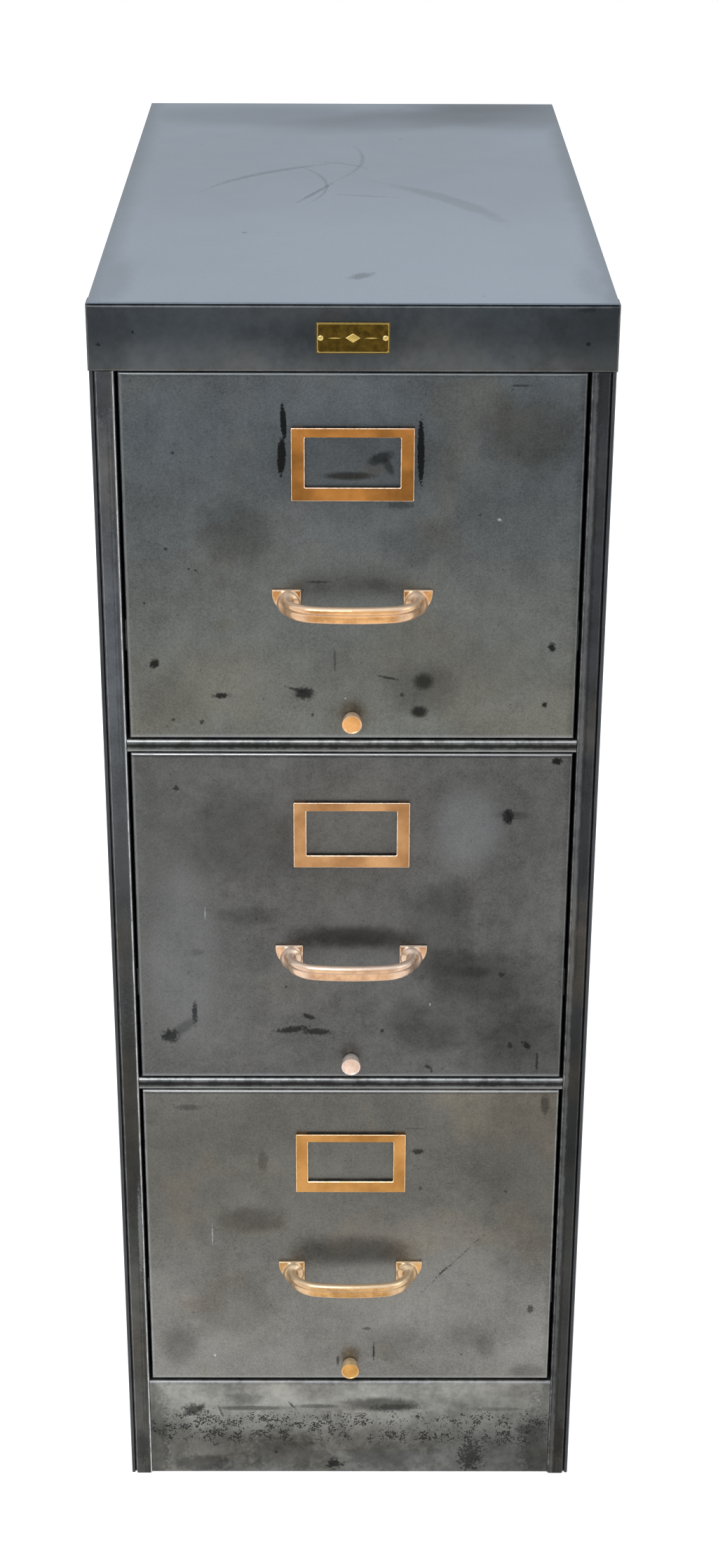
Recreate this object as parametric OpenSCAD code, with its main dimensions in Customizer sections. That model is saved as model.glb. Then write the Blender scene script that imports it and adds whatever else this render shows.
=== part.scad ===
// Three-drawer upright letter file: a folded sheet-steel case with three drawers on
// full-extension roller slides. Millimetres, +Z up, front towards -Y, and the origin on
// the floor under the middle of the box round the whole cabinet.

/* [Case] */
// Overall width, across the header band
case_w = 381; // [350:1:430]
// Depth from the face of the front posts to the back
case_d = 711; // [560:1:760]
// Sheet thickness of the sides, back and drawers
sheet_t = 1; // [0.8:0.1:1.5]
// Sheet thickness of the posts, rails, base and slide channels
frame_t = 1.2; // [1:0.1:1.6]
// Visible width of each front post, with the rolled edge of the side panel
post_w = 18.1; // [17:0.1:24]
// Depth of the front posts
post_d = 36; // [30:1:60]
// Radius of the bright inner bend of the posts
post_bend_r = 2.6; // [1.8:0.1:4]
// Width of the dark groove between a post and the rolled edge of the side
groove_w = 1.3; // [1:0.1:3]
// Depth of that groove
groove_d = 8; // [5:0.5:12]
// Width of the rolled front edge of the side panels
roll_w = 3.1; // [2.6:0.1:4]
// How far the rolled edge lies behind the face of the posts
roll_setback = 0.8; // [0:0.1:4]
// Length of sheet folded back behind the rolled edge
roll_return = 12; // [9:0.5:20]
// Width of the flange folded in at the back of the side panels
rear_flange = 15; // [10:1:30]
// Depth of the rear uprights
upright_d = 41; // [30:1:60]

/* [Header and top] */
// Height of the header band
header_h = 48.8; // [36:0.1:70]
// Depth of the header band
header_d = 20; // [12:1:30]
// Sheet thickness of the header band
header_t = 0.8; // [0.6:0.1:1.2]
// How far the header band stands out past the posts and sides
header_proud = 0.8; // [0.4:0.1:2]
// Outer bend radius of the header band
header_bend_r = 2.2; // [1.5:0.1:4]
// Dark seam between header band and top panel
top_seam = 0.4; // [0.3:0.1:1]
// Sheet thickness of the top panel
top_t = 0.6; // [0.5:0.1:1.6]
// Width of the hem folded under the edge of the top panel
top_hem = 20; // [14:1:30]
// Step in from the side panels to the edge of the top panel
top_inset = 0.2; // [0:0.1:0.6]

/* [Rails and base] */
// Height of the base plate
base_h = 97.4; // [60:0.1:160]
// How far the base plate lies behind the posts
base_setback = 1; // [0.5:0.5:10]
// Depth of the top flange of the base plate
base_top_flange = 26; // [20:1:40]
// Depth of the bottom flange of the base plate
base_foot = 18; // [10:1:30]
// Outer bend radius of the base plate
base_bend_r = 3; // [2:0.1:5]
// Height of the rails between the drawers
rail_h = 10.2; // [8:0.1:20]
// Depth of the rails
rail_d = 25; // [18:1:32]
// How far the rails lie behind the posts
rail_setback = 0.8; // [0:0.1:3]
// Outer bend radius of the rails
rail_bend_r = 2.8; // [1.8:0.1:3.8]
// Depth of the edges folded down round the floor pan
pan_flange = 14; // [8:1:30]

/* [Drawer fronts] */
// Height of a drawer front
front_h = 287.8; // [240:0.1:320]
// Depth of the double-walled drawer front
front_d = 22; // [18:0.5:30]
// Outer bend radius of the drawer front
front_bend_r = 2.6; // [1.8:0.1:4]
// Gap between a drawer front and each post
side_gap = 2.4; // [1.5:0.1:3.5]
// Gap over a drawer front
gap_above = 0.5; // [0.3:0.1:3]
// Gap between a drawer front and the rail under it
gap_below = 1.7; // [1:0.1:4]
// Gap between the lowest drawer front and the base plate
base_gap = 3.5; // [1:0.1:6]

/* [Drawer trays] */
// Height of the tray sides
tray_h = 140; // [115:1:200]
// Underside of the tray above the lower edge of the drawer front
tray_lift = 8; // [6:0.5:9]
// Space between the back of the tray and the tie bar of the cradle
tray_clear = 8; // [6:0.5:30]
// Width of the hem folded in along the top of the tray
tray_hem = 3; // [2:0.5:6]
// Width of the flanges that join the tray to the drawer front
tray_flange = 13; // [8:1:25]

/* [Roller slides] */
// Height of the rollers' axes above the lower edge of the drawer front
slide_z = 75; // [45:1:95]
// Roller radius
roller_r = 10.7; // [9:0.1:13]
// Roller width
roller_w = 11.2; // [9:0.1:14]
// Radius of the studs that the rollers turn on
stud_r = 3; // [2.2:0.1:4]
// Radial running clearance of a roller on its stud
stud_fit = 0.05; // [0.02:0.01:0.1]
// Thickness of a stud's head
stud_head_t = 1.4; // [1:0.1:2]
// Thickness of the cradle's flat bar
arm_t = 1.6; // [1.2:0.1:2.4]
// Height of the cradle's flat bar
arm_h = 16; // [10:0.5:17]
// Clearance between a roller and each track it runs in
roller_gap = 0.3; // [0.2:0.05:0.5]
// Sideways clearance between neighbouring parts of a slide
slide_gap = 0.4; // [0.3:0.05:0.6]
// Space between the drawer front and the ends of the slide channels
channel_start = 2; // [1:0.5:6]
// Space between the back panel and the ends of the slide channels
channel_end = 9; // [4:0.5:30]
// Distance of the first and last roller from the ends of the cradle
roller_end = 26; // [16:1:60]

/* [Pull] */
// Distance between the two legs of a pull
pull_span = 97; // [80:1:120]
// How far a pull stands out from the drawer front
pull_reach = 34.5; // [33:0.5:42]
// Height of the middle of its feet above the lower edge of the drawer front
pull_z = 111.3; // [80:0.1:200]
// How far the grip rises over the middle of the feet
grip_rise = 1.2; // [0:0.1:3]
// Height of the grip
grip_h = 12; // [10:0.5:14]
// Thickness of the grip from front to back
grip_d = 9.5; // [8:0.1:10]
// Radius of the bow of the grip, at its middle line
bow_r = 220; // [150:5:400]
// Radius of the bend from leg to grip, at its middle line
leg_bend_r = 20; // [14:0.5:20]
// Height of a foot
foot_h = 21.4; // [18:0.1:26]
// Thickness of a foot
foot_t = 3; // [2:0.1:4]
// Distance from a leg's middle in to the foot's straight edge
foot_in = 10.5; // [8:0.5:14]
// Distance from a leg's middle in to the centre of the foot's round outer edge
foot_centre_in = 5.9; // [4:0.1:8]
// Radius of the foot's round outer edge
foot_r = 18; // [16:0.5:22]
// Radius of a pull screw
pull_screw_r = 2.4; // [1.8:0.1:3]
// Length of screw inside the pull
pull_screw_grip = 8; // [5:0.5:12]
// Radius of the holes in the liner that reach the pull screws
access_r = 7; // [6:0.5:10]

/* [Label frame] */
// Width of a label frame
label_w = 90; // [70:1:120]
// Height of a label frame
label_h = 55.7; // [50:0.1:70]
// Width of its window
label_window_w = 70; // [50:1:76]
// Height of its window
label_window_h = 37.9; // [28:0.1:40]
// Border under its window
label_border_low = 10.4; // [6:0.1:14]
// Thickness
label_t = 3; // [2.4:0.1:4]
// Width of the pocket for a card, beyond the window on each side
label_pocket = 2.5; // [1:0.1:4]
// Depth of that pocket
label_pocket_d = 1.2; // [0.8:0.1:1.6]
// Distance from the top of the drawer front down to the label frame
label_drop = 40.6; // [25:0.1:60]
// Radius of the studs that fasten it
label_stud_r = 1.3; // [1:0.1:1.8]

/* [Guide rod and follower] */
// Radius of the guide rod
rod_r = 3.5; // [2.5:0.1:4]
// Height of the rod above the lower edge of the drawer front
rod_z = 17; // [15:0.5:30]
// Clearance round the rod in its holes
rod_fit = 0.4; // [0.3:0.05:0.6]
// Length of rod past the back of the tray
rod_tail = 4; // [2:0.5:5]
// Radius of the knob's front disc
knob_r = 7.7; // [6:0.1:10]
// Radius of the knob's base, against the drawer front
knob_base_r = 8.3; // [6.5:0.1:11]
// How far the knob stands out from the drawer front
knob_reach = 12.5; // [10:0.5:20]
// Width of a follower
follower_w = 292; // [240:1:298]
// Height of a follower above the floor of the tray
follower_h = 180; // [120:1:220]
// Distance from the tray's back to a follower's plate
follower_back = 80; // [60:1:160]
// Length of a follower's foot
follower_foot = 55; // [30:1:58]
// Clearance under a follower
follower_lift = 0.4; // [0.3:0.05:0.6]

/* [Nameplate] */
// Width of the blank nameplate
plate_w = 52.7; // [36:0.1:80]
// Height of the nameplate
plate_h = 22.7; // [14:0.1:30]
// Thickness of the nameplate
plate_t = 0.8; // [0.5:0.1:1.2]
// Height of its middle above the middle of the header band
plate_lift = 1; // [-4:0.1:4]
// Distance between its two rivets
plate_rivets = 46.4; // [28:0.2:72]
// Radius of a rivet's shank
rivet_r = 1.2; // [0.8:0.1:1.4]

/* [Hidden] */
$fn = 64;
LEVELS = ["bottom", "middle", "top"];
CASE_NODES = [
    "top_panel", "header_band", "left_side_panel", "right_side_panel", "back_panel",
    "floor_pan", "base_plate", "left_front_post", "right_front_post", "upper_rail",
    "lower_rail", "left_rear_upright", "right_rear_upright", "nameplate",
    "nameplate_rivets"
];
BAY_NODES = [
    "left_case_channel", "right_case_channel", "cradle", "front_rollers",
    "middle_rollers", "rear_rollers", "runners", "tray", "front_liner", "drawer_front",
    "label_frame", "pull", "pull_screws", "guide_rod", "follower"
];

// Colours
STEEL = "#5a6063";
LIGHT_STEEL = "#8a9092";
BRONZE = "#b8793f";
BRASS = "#b39a45";

eps = 0.01;            // overlap that keeps a cut from leaving a skin
stud_clear = 0.1;      // clearance round fixed studs, screws and rivets
stud_head_over = 1.6;  // overhang of the head on a roller's stud
panel_gap = 0.5;       // gap between the header band and the side panels

// Heights
pitch = gap_below + front_h + gap_above + rail_h;
header_z = bay_z(2) + front_h + gap_above;
plate_z = header_z + header_h / 2 + plate_lift;
top_under_z = header_z + header_h + top_seam;

// Half widths, from the outside in
side_x = case_w / 2 - header_proud;
side_in = side_x - sheet_t;
roll_x = side_x - roll_w;
face_x = roll_x - groove_w;
open_x = side_x - post_w;
channel_web_x = open_x - frame_t;
head_out_x = channel_web_x - slide_gap;
head_in_x = head_out_x - stud_head_t;
roller_out_x = head_in_x - roller_gap;
roller_in_x = roller_out_x - roller_w;
roller_mid_x = (roller_in_x + roller_out_x) / 2;
arm_out_x = roller_in_x - slide_gap;
arm_in_x = arm_out_x - arm_t;
runner_web_x = arm_in_x - slide_gap;
tray_x = runner_web_x - frame_t;
front_w = 2 * (open_x - side_gap);

// Depths, from the face of the posts back
front_y = (pull_reach - case_d) / 2;
back_y = case_d - 2 * sheet_t;
upright_y = back_y - upright_d;
channel_y = front_d + channel_start;
channel_end_y = back_y - channel_end;
tray_end = channel_end_y - arm_t - tray_clear;
roller_y = [
    channel_y + roller_end,
    (channel_y + tray_end) / 2,
    channel_end_y - roller_end
];

// Slide tracks
track_h = 2 * (roller_r + roller_gap);
flange_split = 1;      // gap between the tips of the two channels
runner_tip_x = roller_mid_x - flange_split / 2;
channel_tip_x = roller_mid_x + flange_split / 2;

// Pull: the leg, the bend and the bow of the grip meet at tangent points
leg_x = pull_span / 2;
bow_y = grip_d / 2 - pull_reach + bow_r;
bow_angle = asin((leg_x - leg_bend_r) / (bow_r - leg_bend_r));
bend_y = bow_y - (bow_r - leg_bend_r) * cos(bow_angle);
pull_sides = 20;       // facets round the grip
pull_step = 7.5;       // angle between its rings
// The turns of its rings from leg to leg, twice as close along the bow
pull_turns = [
    for (turn = [0:pull_step / 2:180])
        if (turn % pull_step == 0 || abs(turn - 90) < 2 * pull_step) turn
];
leg_len = -bend_y - foot_t;
// Flare of a leg: the depth of each ring, and its half width and half height as shares
// of foot_in and foot_h
leg_flare = [
    [-foot_t / 2, 0.8, 0.42],
    [-foot_t - 0.1 * leg_len, 0.66, 0.36],
    [-foot_t - 0.55 * leg_len, 0.54, 0.29]
];

label_z = front_h - label_drop - label_h;
label_stud_in = 5;     // distance of its studs from the edges of a label frame
label_studs = [
    for (sx = [-1, 1], z = [label_border_low / 2, label_h - label_stud_in])
        [sx * (label_w / 2 - label_stud_in), z]
];

// Height of a follower's foot above the lower edge of the drawer front
follower_z = tray_lift + sheet_t + follower_lift;

function bay_z(level) = base_h + base_gap + level * pitch;

// --- Shared shapes -------------------------------------------------------------------

// Places its children in the cabinet's frame: they are drawn with y = 0 at the posts
module in_case() translate([0, front_y, 0]) children();

// The same for a drawer bay, with z = 0 at the lower edge of the drawer front
module in_bay(level) in_case() translate([0, 0, bay_z(level)]) children();

// A child drawn on the right, and its mirror image
module both_sides() {
    children();
    mirror([1, 0, 0]) children();
}

// Sheet folded at the origin: one leg along +x, one along +y, with its outer bend rounded
module fold(leg_a, leg_b, t, r) {
    translate([r, 0]) square([leg_a - r, t]);
    translate([0, r]) square([t, leg_b - r]);
    translate([r, r]) rotate(180) intersection() {
        difference() {
            circle(r);
            circle(r - t);
        }
        square(r);
    }
}

// Rectangle, centred across, whose two corners at y = 0 are rounded
module front_rounded(w, d, r) {
    translate([-w / 2, r]) square([w, d - r]);
    translate([r - w / 2, 0]) square([w - 2 * r, r + eps]);
    for (sx = [-1, 1]) translate([sx * (w / 2 - r), r]) circle(r);
}

// Extrudes a (y, z) outline along x, centred
module across(w) translate([-w / 2, 0, 0]) rotate([90, 0, 90]) linear_extrude(w) children();

// Block with its front at y = 0, its base at z = 0 and its four front edges rounded
module rounded_block(w, h, d, r) {
    intersection() {
        linear_extrude(h) front_rounded(w, d, r);
        across(w + 2) translate([0, h / 2]) rotate(-90) front_rounded(h, d, r);
    }
}

// Folded pan that is open at the back
module pan(w, h, d, t, r) {
    difference() {
        rounded_block(w, h, d, r);
        translate([0, t, t]) rounded_block(w - 2 * t, h - 2 * t, d, r - t);
    }
}

// Round bar along y, from y0 to y1
module bar_y(r, y0, y1) translate([0, y0, 0]) rotate([-90, 0, 0]) cylinder(r = r, h = y1 - y0);

// Round bar along x, from x0 to x1
module bar_x(r, x0, x1) translate([x0, 0, 0]) rotate([0, 90, 0]) cylinder(r = r, h = x1 - x0);

// --- Case ----------------------------------------------------------------------------

module top_panel() color(LIGHT_STEEL) in_case() {
    w = 2 * (side_x - top_inset);
    t = 2 * top_t;
    difference() {
        intersection() {
            translate([0, 0, top_under_z]) linear_extrude(t) translate([-w / 2, 0]) square([w, case_d]);
            translate([0, 0, top_under_z]) across(w) hem_outline(case_d, t);
            translate([0, 0, top_under_z]) translate([0, case_d / 2, 0]) rotate([0, 0, 90])
                across(case_d) translate([-w / 2, 0]) hem_outline(w, t);
        }
        translate([-w / 2 + top_hem, top_hem, top_under_z - eps])
            cube([w - 2 * top_hem, case_d - 2 * top_hem, top_t + eps]);
    }
}

// Strip of a given length with a round nose at each end
module hem_outline(length, t) {
    translate([t / 2, 0]) square([length - t, t]);
    for (y = [t / 2, length - t / 2]) translate([y, t / 2]) circle(t / 2);
}

module header_band() color(STEEL) in_case() difference() {
    translate([0, -header_proud, header_z]) pan(case_w, header_h, header_d, header_t, header_bend_r);
    for (sx = [-1, 1]) translate([sx * plate_rivets / 2, 0, plate_z])
        bar_y(rivet_r + stud_clear, -header_proud - 1, header_t);
}

module nameplate() color(BRASS) in_case() difference() {
    translate([-plate_w / 2, -header_proud - plate_t, plate_z - plate_h / 2])
        cube([plate_w, plate_t, plate_h]);
    for (sx = [-1, 1]) translate([sx * plate_rivets / 2, 0, plate_z])
        bar_y(rivet_r + stud_clear, -header_proud - plate_t - 1, 0);
}

// Round-headed rivets through the nameplate and the header band
module nameplate_rivets() color(BRASS) in_case() {
    head_t = 0.7;
    tail = 1;
    for (sx = [-1, 1]) translate([sx * plate_rivets / 2, 0, plate_z]) {
        bar_y(1.7 * rivet_r, -header_proud - plate_t - head_t, -header_proud - plate_t);
        bar_y(rivet_r, -header_proud - plate_t - eps, header_t - header_proud + eps);
        bar_y(1.5 * rivet_r, header_t - header_proud, header_t - header_proud + tail);
    }
}

// Side panel: rolled front edge below the header band, flat sheet above, flange at the back
module side_panel() {
    roll_r = roll_w / 2;
    roll_y = roll_setback + roll_r;
    header_end = header_d - header_proud + panel_gap;
    linear_extrude(header_z) {
        translate([side_in, roll_y]) square([sheet_t, case_d - roll_y]);
        translate([roll_x, roll_y]) square([sheet_t, roll_return]);
        translate([roll_x + roll_r, roll_y]) intersection() {
            difference() {
                circle(roll_r);
                circle(roll_r - sheet_t);
            }
            translate([-roll_r, -roll_r]) square([roll_w, roll_r]);
        }
    }
    translate([side_in, header_end, header_z - eps])
        cube([sheet_t, case_d - header_end, top_under_z - header_z + eps]);
    translate([side_x - rear_flange, case_d - sheet_t, 0])
        cube([rear_flange, sheet_t, top_under_z]);
}

module right_side_panel() color(STEEL) in_case() side_panel();
module left_side_panel() color(STEEL) in_case() mirror([1, 0, 0]) side_panel();

module back_panel() color(STEEL) in_case()
    translate([-side_in, back_y, 0]) cube([2 * side_in, sheet_t, top_under_z]);

// Folded post: inner leg, rounded face, groove beside the rolled edge, flange to the side
module front_post() linear_extrude(header_z) {
    outer_bend_r = frame_t + 0.1;
    face_w = face_x - open_x;
    translate([open_x, 0]) fold(face_w - outer_bend_r, post_d, frame_t, post_bend_r);
    translate([face_x, 0]) mirror([1, 0])
        fold(face_w / 2, groove_d + frame_t, frame_t, outer_bend_r);
    translate([face_x - frame_t, groove_d]) square([groove_w + frame_t, frame_t]);
    translate([roll_x - frame_t, groove_d]) square([frame_t, roll_return]);
    translate([open_x, post_d - frame_t]) square([side_in - open_x, frame_t]);
}

module right_front_post() color(STEEL) in_case() front_post();
module left_front_post() color(STEEL) in_case() mirror([1, 0, 0]) front_post();

// Rear upright: a channel against the side and the back
module rear_upright() linear_extrude(top_under_z) translate([open_x, upright_y]) difference() {
    square([side_in - open_x, upright_d]);
    translate([frame_t, frame_t]) square([side_in - open_x, upright_d - 2 * frame_t]);
}

module right_rear_upright() color(STEEL) in_case() rear_upright();
module left_rear_upright() color(STEEL) in_case() mirror([1, 0, 0]) rear_upright();

// Rail between two drawers: a channel that is open at the back
module rail(z) in_case() translate([0, rail_setback, z]) across(2 * open_x) {
    fold(rail_d, rail_h / 2, frame_t, frame_t + 0.4);
    translate([0, rail_h]) mirror([0, 1]) fold(rail_d, rail_h / 2, frame_t, rail_bend_r);
}

module lower_rail() color(STEEL) rail(bay_z(0) + front_h + gap_above);
module upper_rail() color(STEEL) rail(bay_z(1) + front_h + gap_above);

module base_plate() color(STEEL) in_case() translate([0, base_setback, 0]) across(2 * open_x) {
    fold(base_foot, base_h / 2, frame_t, frame_t + 0.4);
    translate([0, base_h]) mirror([0, 1]) fold(base_top_flange, base_h / 2, frame_t, base_bend_r);
}

// Floor of the case, with its edges folded down
module floor_pan() color(STEEL) in_case() {
    y0 = base_setback + base_bend_r;
    z1 = base_h - frame_t;
    difference() {
        translate([-open_x, y0, z1 - pan_flange]) cube([2 * open_x, back_y - y0, pan_flange]);
        translate([sheet_t - open_x, y0 + sheet_t, z1 - pan_flange - sheet_t])
            cube([2 * (open_x - sheet_t), back_y - y0 - 2 * sheet_t, pan_flange]);
    }
}

// --- Roller slides ---------------------------------------------------------------------

// Channel that is open towards -x, web at x = 0, centred on the rollers' axes
module slide_channel(reach, length) {
    h = track_h + 2 * frame_t;
    difference() {
        translate([-reach, 0, -h / 2]) cube([reach, length, h]);
        translate([-reach - 1, -1, -track_h / 2]) cube([reach - frame_t + 1, length + 2, track_h]);
    }
}

module case_channel() translate([open_x, channel_y, slide_z])
    slide_channel(open_x - channel_tip_x, channel_end_y - channel_y);

// The drawer's two channels, which open outwards
module runners() color(STEEL) both_sides() translate([tray_x, channel_y, slide_z])
    mirror([1, 0, 0]) slide_channel(runner_tip_x - tray_x, tray_end - channel_y);

// Flat bar bent round the drawer, with the studs that carry the rollers
module cradle() color(LIGHT_STEEL) translate([0, 0, slide_z]) {
    arm_len = channel_end_y - channel_y;
    both_sides() {
        translate([arm_in_x, channel_y, -arm_h / 2]) cube([arm_t, arm_len, arm_h]);
        for (y = roller_y) translate([0, y, 0]) {
            bar_x(stud_r, arm_out_x - eps, head_in_x + eps);
            bar_x(stud_r + stud_head_over, head_in_x, head_out_x);
        }
    }
    translate([-arm_out_x, channel_end_y - arm_t, -arm_h / 2]) cube([2 * arm_out_x, arm_t, arm_h]);
}

// Pair of rollers on one axis, grooved between the two tracks
module roller_pair(y) color(LIGHT_STEEL) translate([0, y, slide_z]) both_sides()
    translate([roller_in_x, 0, 0]) rotate([0, 90, 0]) difference() {
        cylinder(r = roller_r, h = roller_w);
        translate([0, 0, -1]) cylinder(r = stud_r + stud_fit, h = roller_w + 2);
        translate([0, 0, (roller_w - flange_split) / 2]) difference() {
            cylinder(r = roller_r + 1, h = flange_split);
            cylinder(r = roller_r - 1, h = flange_split);
        }
    }

// --- Drawer ----------------------------------------------------------------------------

// Outer skin of the drawer front, drilled for the pull, the label frame and the guide rod
module drawer_front() color(STEEL) difference() {
    pan(front_w, front_h, front_d, sheet_t, front_bend_r);
    for (sx = [-1, 1])
        translate([sx * leg_x, 0, pull_z]) bar_y(pull_screw_r + stud_clear, -1, sheet_t + 1);
    for (p = label_studs)
        translate([p[0], 0, label_z + p[1]]) bar_y(label_stud_r + stud_clear, -1, sheet_t + 1);
    translate([0, 0, rod_z]) bar_y(rod_r + rod_fit, -1, sheet_t + 1);
}

// Inner skin, which closes the back of the drawer front
module front_liner() color(STEEL) difference() {
    translate([sheet_t - front_w / 2, front_d - sheet_t, sheet_t])
        cube([front_w - 2 * sheet_t, sheet_t, front_h - 2 * sheet_t]);
    for (sx = [-1, 1])
        translate([sx * leg_x, 0, pull_z]) bar_y(access_r, front_d - sheet_t - 1, front_d + 1);
    translate([0, 0, rod_z]) bar_y(rod_r + rod_fit, front_d - sheet_t - 1, front_d + 1);
}

// Folded tray: floor, sides with hems, back, and flanges on the drawer front
module tray() color(STEEL) difference() {
    translate([0, front_d, tray_lift]) {
        length = tray_end - front_d;
        translate([-tray_x, 0, 0]) cube([2 * tray_x, length, sheet_t]);
        translate([-tray_x, length - sheet_t, 0]) cube([2 * tray_x, sheet_t, tray_h]);
        both_sides() {
            translate([tray_x - sheet_t, 0, 0]) cube([sheet_t, length, tray_h]);
            translate([tray_x - tray_hem, 0, tray_h - sheet_t]) cube([tray_hem, length, sheet_t]);
            translate([tray_x - tray_flange, 0, 0]) cube([tray_flange, sheet_t, tray_h]);
        }
    }
    translate([0, 0, rod_z]) bar_y(rod_r + rod_fit, tray_end - sheet_t - 1, tray_end + 1);
}

module label_frame() color(BRONZE) translate([0, 0, label_z]) {
    pocket_w = label_window_w + 2 * label_pocket;
    difference() {
        translate([0, -label_t, 0]) rounded_block(label_w, label_h, label_t, 1);
        translate([-label_window_w / 2, -label_t - 1, label_border_low])
            cube([label_window_w, label_t + 2, label_window_h]);
        translate([-pocket_w / 2, -label_pocket_d, label_border_low - label_pocket])
            cube([pocket_w, label_pocket_d + 1, label_window_h + 2 * label_pocket]);
    }
    for (p = label_studs) translate([p[0], 0, p[1]]) bar_y(label_stud_r, -label_t / 2, sheet_t + 1);
}

// Middle line of the pull, by the angle it has turned from the right leg: a bend, the bow
// of the grip and the left bend. The same angle gives the direction out of the curve.
function pull_point(turn) =
    turn < 90 - bow_angle ? [leg_x - leg_bend_r * (1 - cos(turn)), bend_y - leg_bend_r * sin(turn)]
    : turn > 90 + bow_angle ? [leg_bend_r * (1 + cos(turn)) - leg_x, bend_y - leg_bend_r * sin(turn)]
    : [bow_r * cos(turn), bow_y - bow_r * sin(turn)];

// Oval ring of the pull's surface: half width a across the curve, half height b
function pull_ring(p, turn, a, b) = [
    for (k = [0:pull_sides - 1]) let (t = 360 * k / pull_sides)
        [
            p[0] + a * cos(t) * cos(turn),
            p[1] - a * cos(t) * sin(turn),
            b * sin(t) + grip_rise * sin(turn)
        ]
];

// Rings of the right leg, which flares into its foot
function leg_rings() = [for (f = leg_flare) pull_ring([leg_x, f[0]], 0, f[1] * foot_in, f[2] * foot_h)];

// The grip is a little lower where it turns into the legs
function grip_ring(turn) =
    pull_ring(pull_point(turn), turn, grip_d / 2, grip_h * (0.44 + 0.06 * sin(turn)));

function mirrored(rings) = [
    for (i = [len(rings) - 1:-1:0]) [for (q = rings[i]) [-q[0], q[1], q[2]]]
];

// Closed skin through a list of rings
module ring_skin(rings) {
    n = len(rings[0]);
    last = len(rings) - 1;
    polyhedron(
        points = [for (r = rings) each r],
        faces = concat(
            [[for (k = [0:n - 1]) k]],
            [for (i = [0:last - 1], k = [0:n - 1]) let (m = (k + 1) % n)
                [i * n + k, (i + 1) * n + k, (i + 1) * n + m]],
            [for (i = [0:last - 1], k = [0:n - 1]) let (m = (k + 1) % n)
                [i * n + k, (i + 1) * n + m, i * n + m]],
            [[for (k = [n - 1:-1:0]) last * n + k]]
        )
    );
}

// Cast pull: two D-shaped feet with flared legs, and a grip bowed outwards
module pull() color(BRONZE) translate([0, 0, pull_z]) difference() {
    union() {
        both_sides() rotate([90, 0, 0]) linear_extrude(foot_t) foot_outline();
        ring_skin(concat(
            leg_rings(), [for (turn = pull_turns) grip_ring(turn)], mirrored(leg_rings())
        ));
    }
    for (sx = [-1, 1])
        translate([sx * leg_x, 0, 0]) bar_y(pull_screw_r + stud_clear, -pull_screw_grip - 0.5, 1);
}

// The right foot: straight top, bottom and inner edge, round outer edge
module foot_outline() intersection() {
    translate([leg_x - foot_in, -foot_h / 2]) square([foot_in + foot_r, foot_h]);
    translate([leg_x - foot_centre_in, foot_h / 4]) circle(foot_r);
}

module pull_screws() color(LIGHT_STEEL) for (sx = [-1, 1]) translate([sx * leg_x, 0, pull_z]) {
    head_t = 2.6;
    bar_y(pull_screw_r, -pull_screw_grip, sheet_t + eps);
    bar_y(1.8 * pull_screw_r, sheet_t, sheet_t + head_t);
}

// Steel rod along the floor of the tray, with a turned knob in front of the drawer
module guide_rod() color(BRONZE) translate([0, 0, rod_z]) {
    knob_gap = 0.3;    // from the drawer front
    disc_t = 4;
    rim = 0.8;
    neck_r = 0.7 * knob_r;
    base_end = knob_gap + rim;
    bar_y(rod_r, -1, tray_end + rod_tail);
    rotate([90, 0, 0]) rotate_extrude() polygon([
        [0, knob_gap], [knob_base_r, knob_gap], [knob_base_r, base_end],
        [neck_r, base_end + 3], [neck_r, knob_reach - disc_t - rim],
        [knob_r - rim, knob_reach - disc_t], [knob_r, knob_reach - disc_t + rim],
        [knob_r, knob_reach - rim], [knob_r - rim, knob_reach], [0, knob_reach]
    ]);
}

// Follower that holds the files upright: plate with a folded top, foot and two gussets
module follower() color(STEEL) translate([0, tray_end - follower_back, follower_z]) {
    lip = 14;
    gusset_x = follower_w / 3;
    t = 1.5 * sheet_t;
    gusset = [[t / 2, t / 2], [follower_foot, t / 2], [t / 2, follower_h / 2]];
    difference() {
        union() {
            translate([-follower_w / 2, 0, 0]) cube([follower_w, t, follower_h]);
            translate([-follower_w / 2, 0, follower_h - t]) cube([follower_w, lip, t]);
            translate([-follower_w / 2, 0, 0]) cube([follower_w, follower_foot, t]);
            for (x = [-gusset_x, gusset_x])
                translate([x - t / 2, 0, 0]) rotate([90, 0, 90]) linear_extrude(t) polygon(gusset);
        }
        translate([0, 0, rod_z - follower_z]) bar_y(rod_r + rod_fit, -1, t + 1);
    }
}

// --- Assembly --------------------------------------------------------------------------

top_panel();
header_band();
left_side_panel();
right_side_panel();
back_panel();
floor_pan();
base_plate();
left_front_post();
right_front_post();
upper_rail();
lower_rail();
left_rear_upright();
right_rear_upright();
nameplate();
nameplate_rivets();

for (i = [0:2]) in_bay(i) {
    color(STEEL) mirror([1, 0, 0]) case_channel();
    color(STEEL) case_channel();
    cradle();
    roller_pair(roller_y[0]);
    roller_pair(roller_y[1]);
    roller_pair(roller_y[2]);
    runners();
    tray();
    front_liner();
    drawer_front();
    label_frame();
    pull();
    pull_screws();
    guide_rod();
    follower();
}
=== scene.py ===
"""Looks of an upright three-drawer letter file: folded steel with a worn patina, bronze fittings.

Lengths are in metres, and sizes written in millimetres are multiplied by MM. Every piece is built
where the frame's own nodes lie, and rides on their bodies.
"""

import logging
import math
from collections.abc import Callable, Sequence
from dataclasses import dataclass, field
from enum import Enum

import bmesh
import bpy
from mathutils import Matrix, Vector, noise


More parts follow.
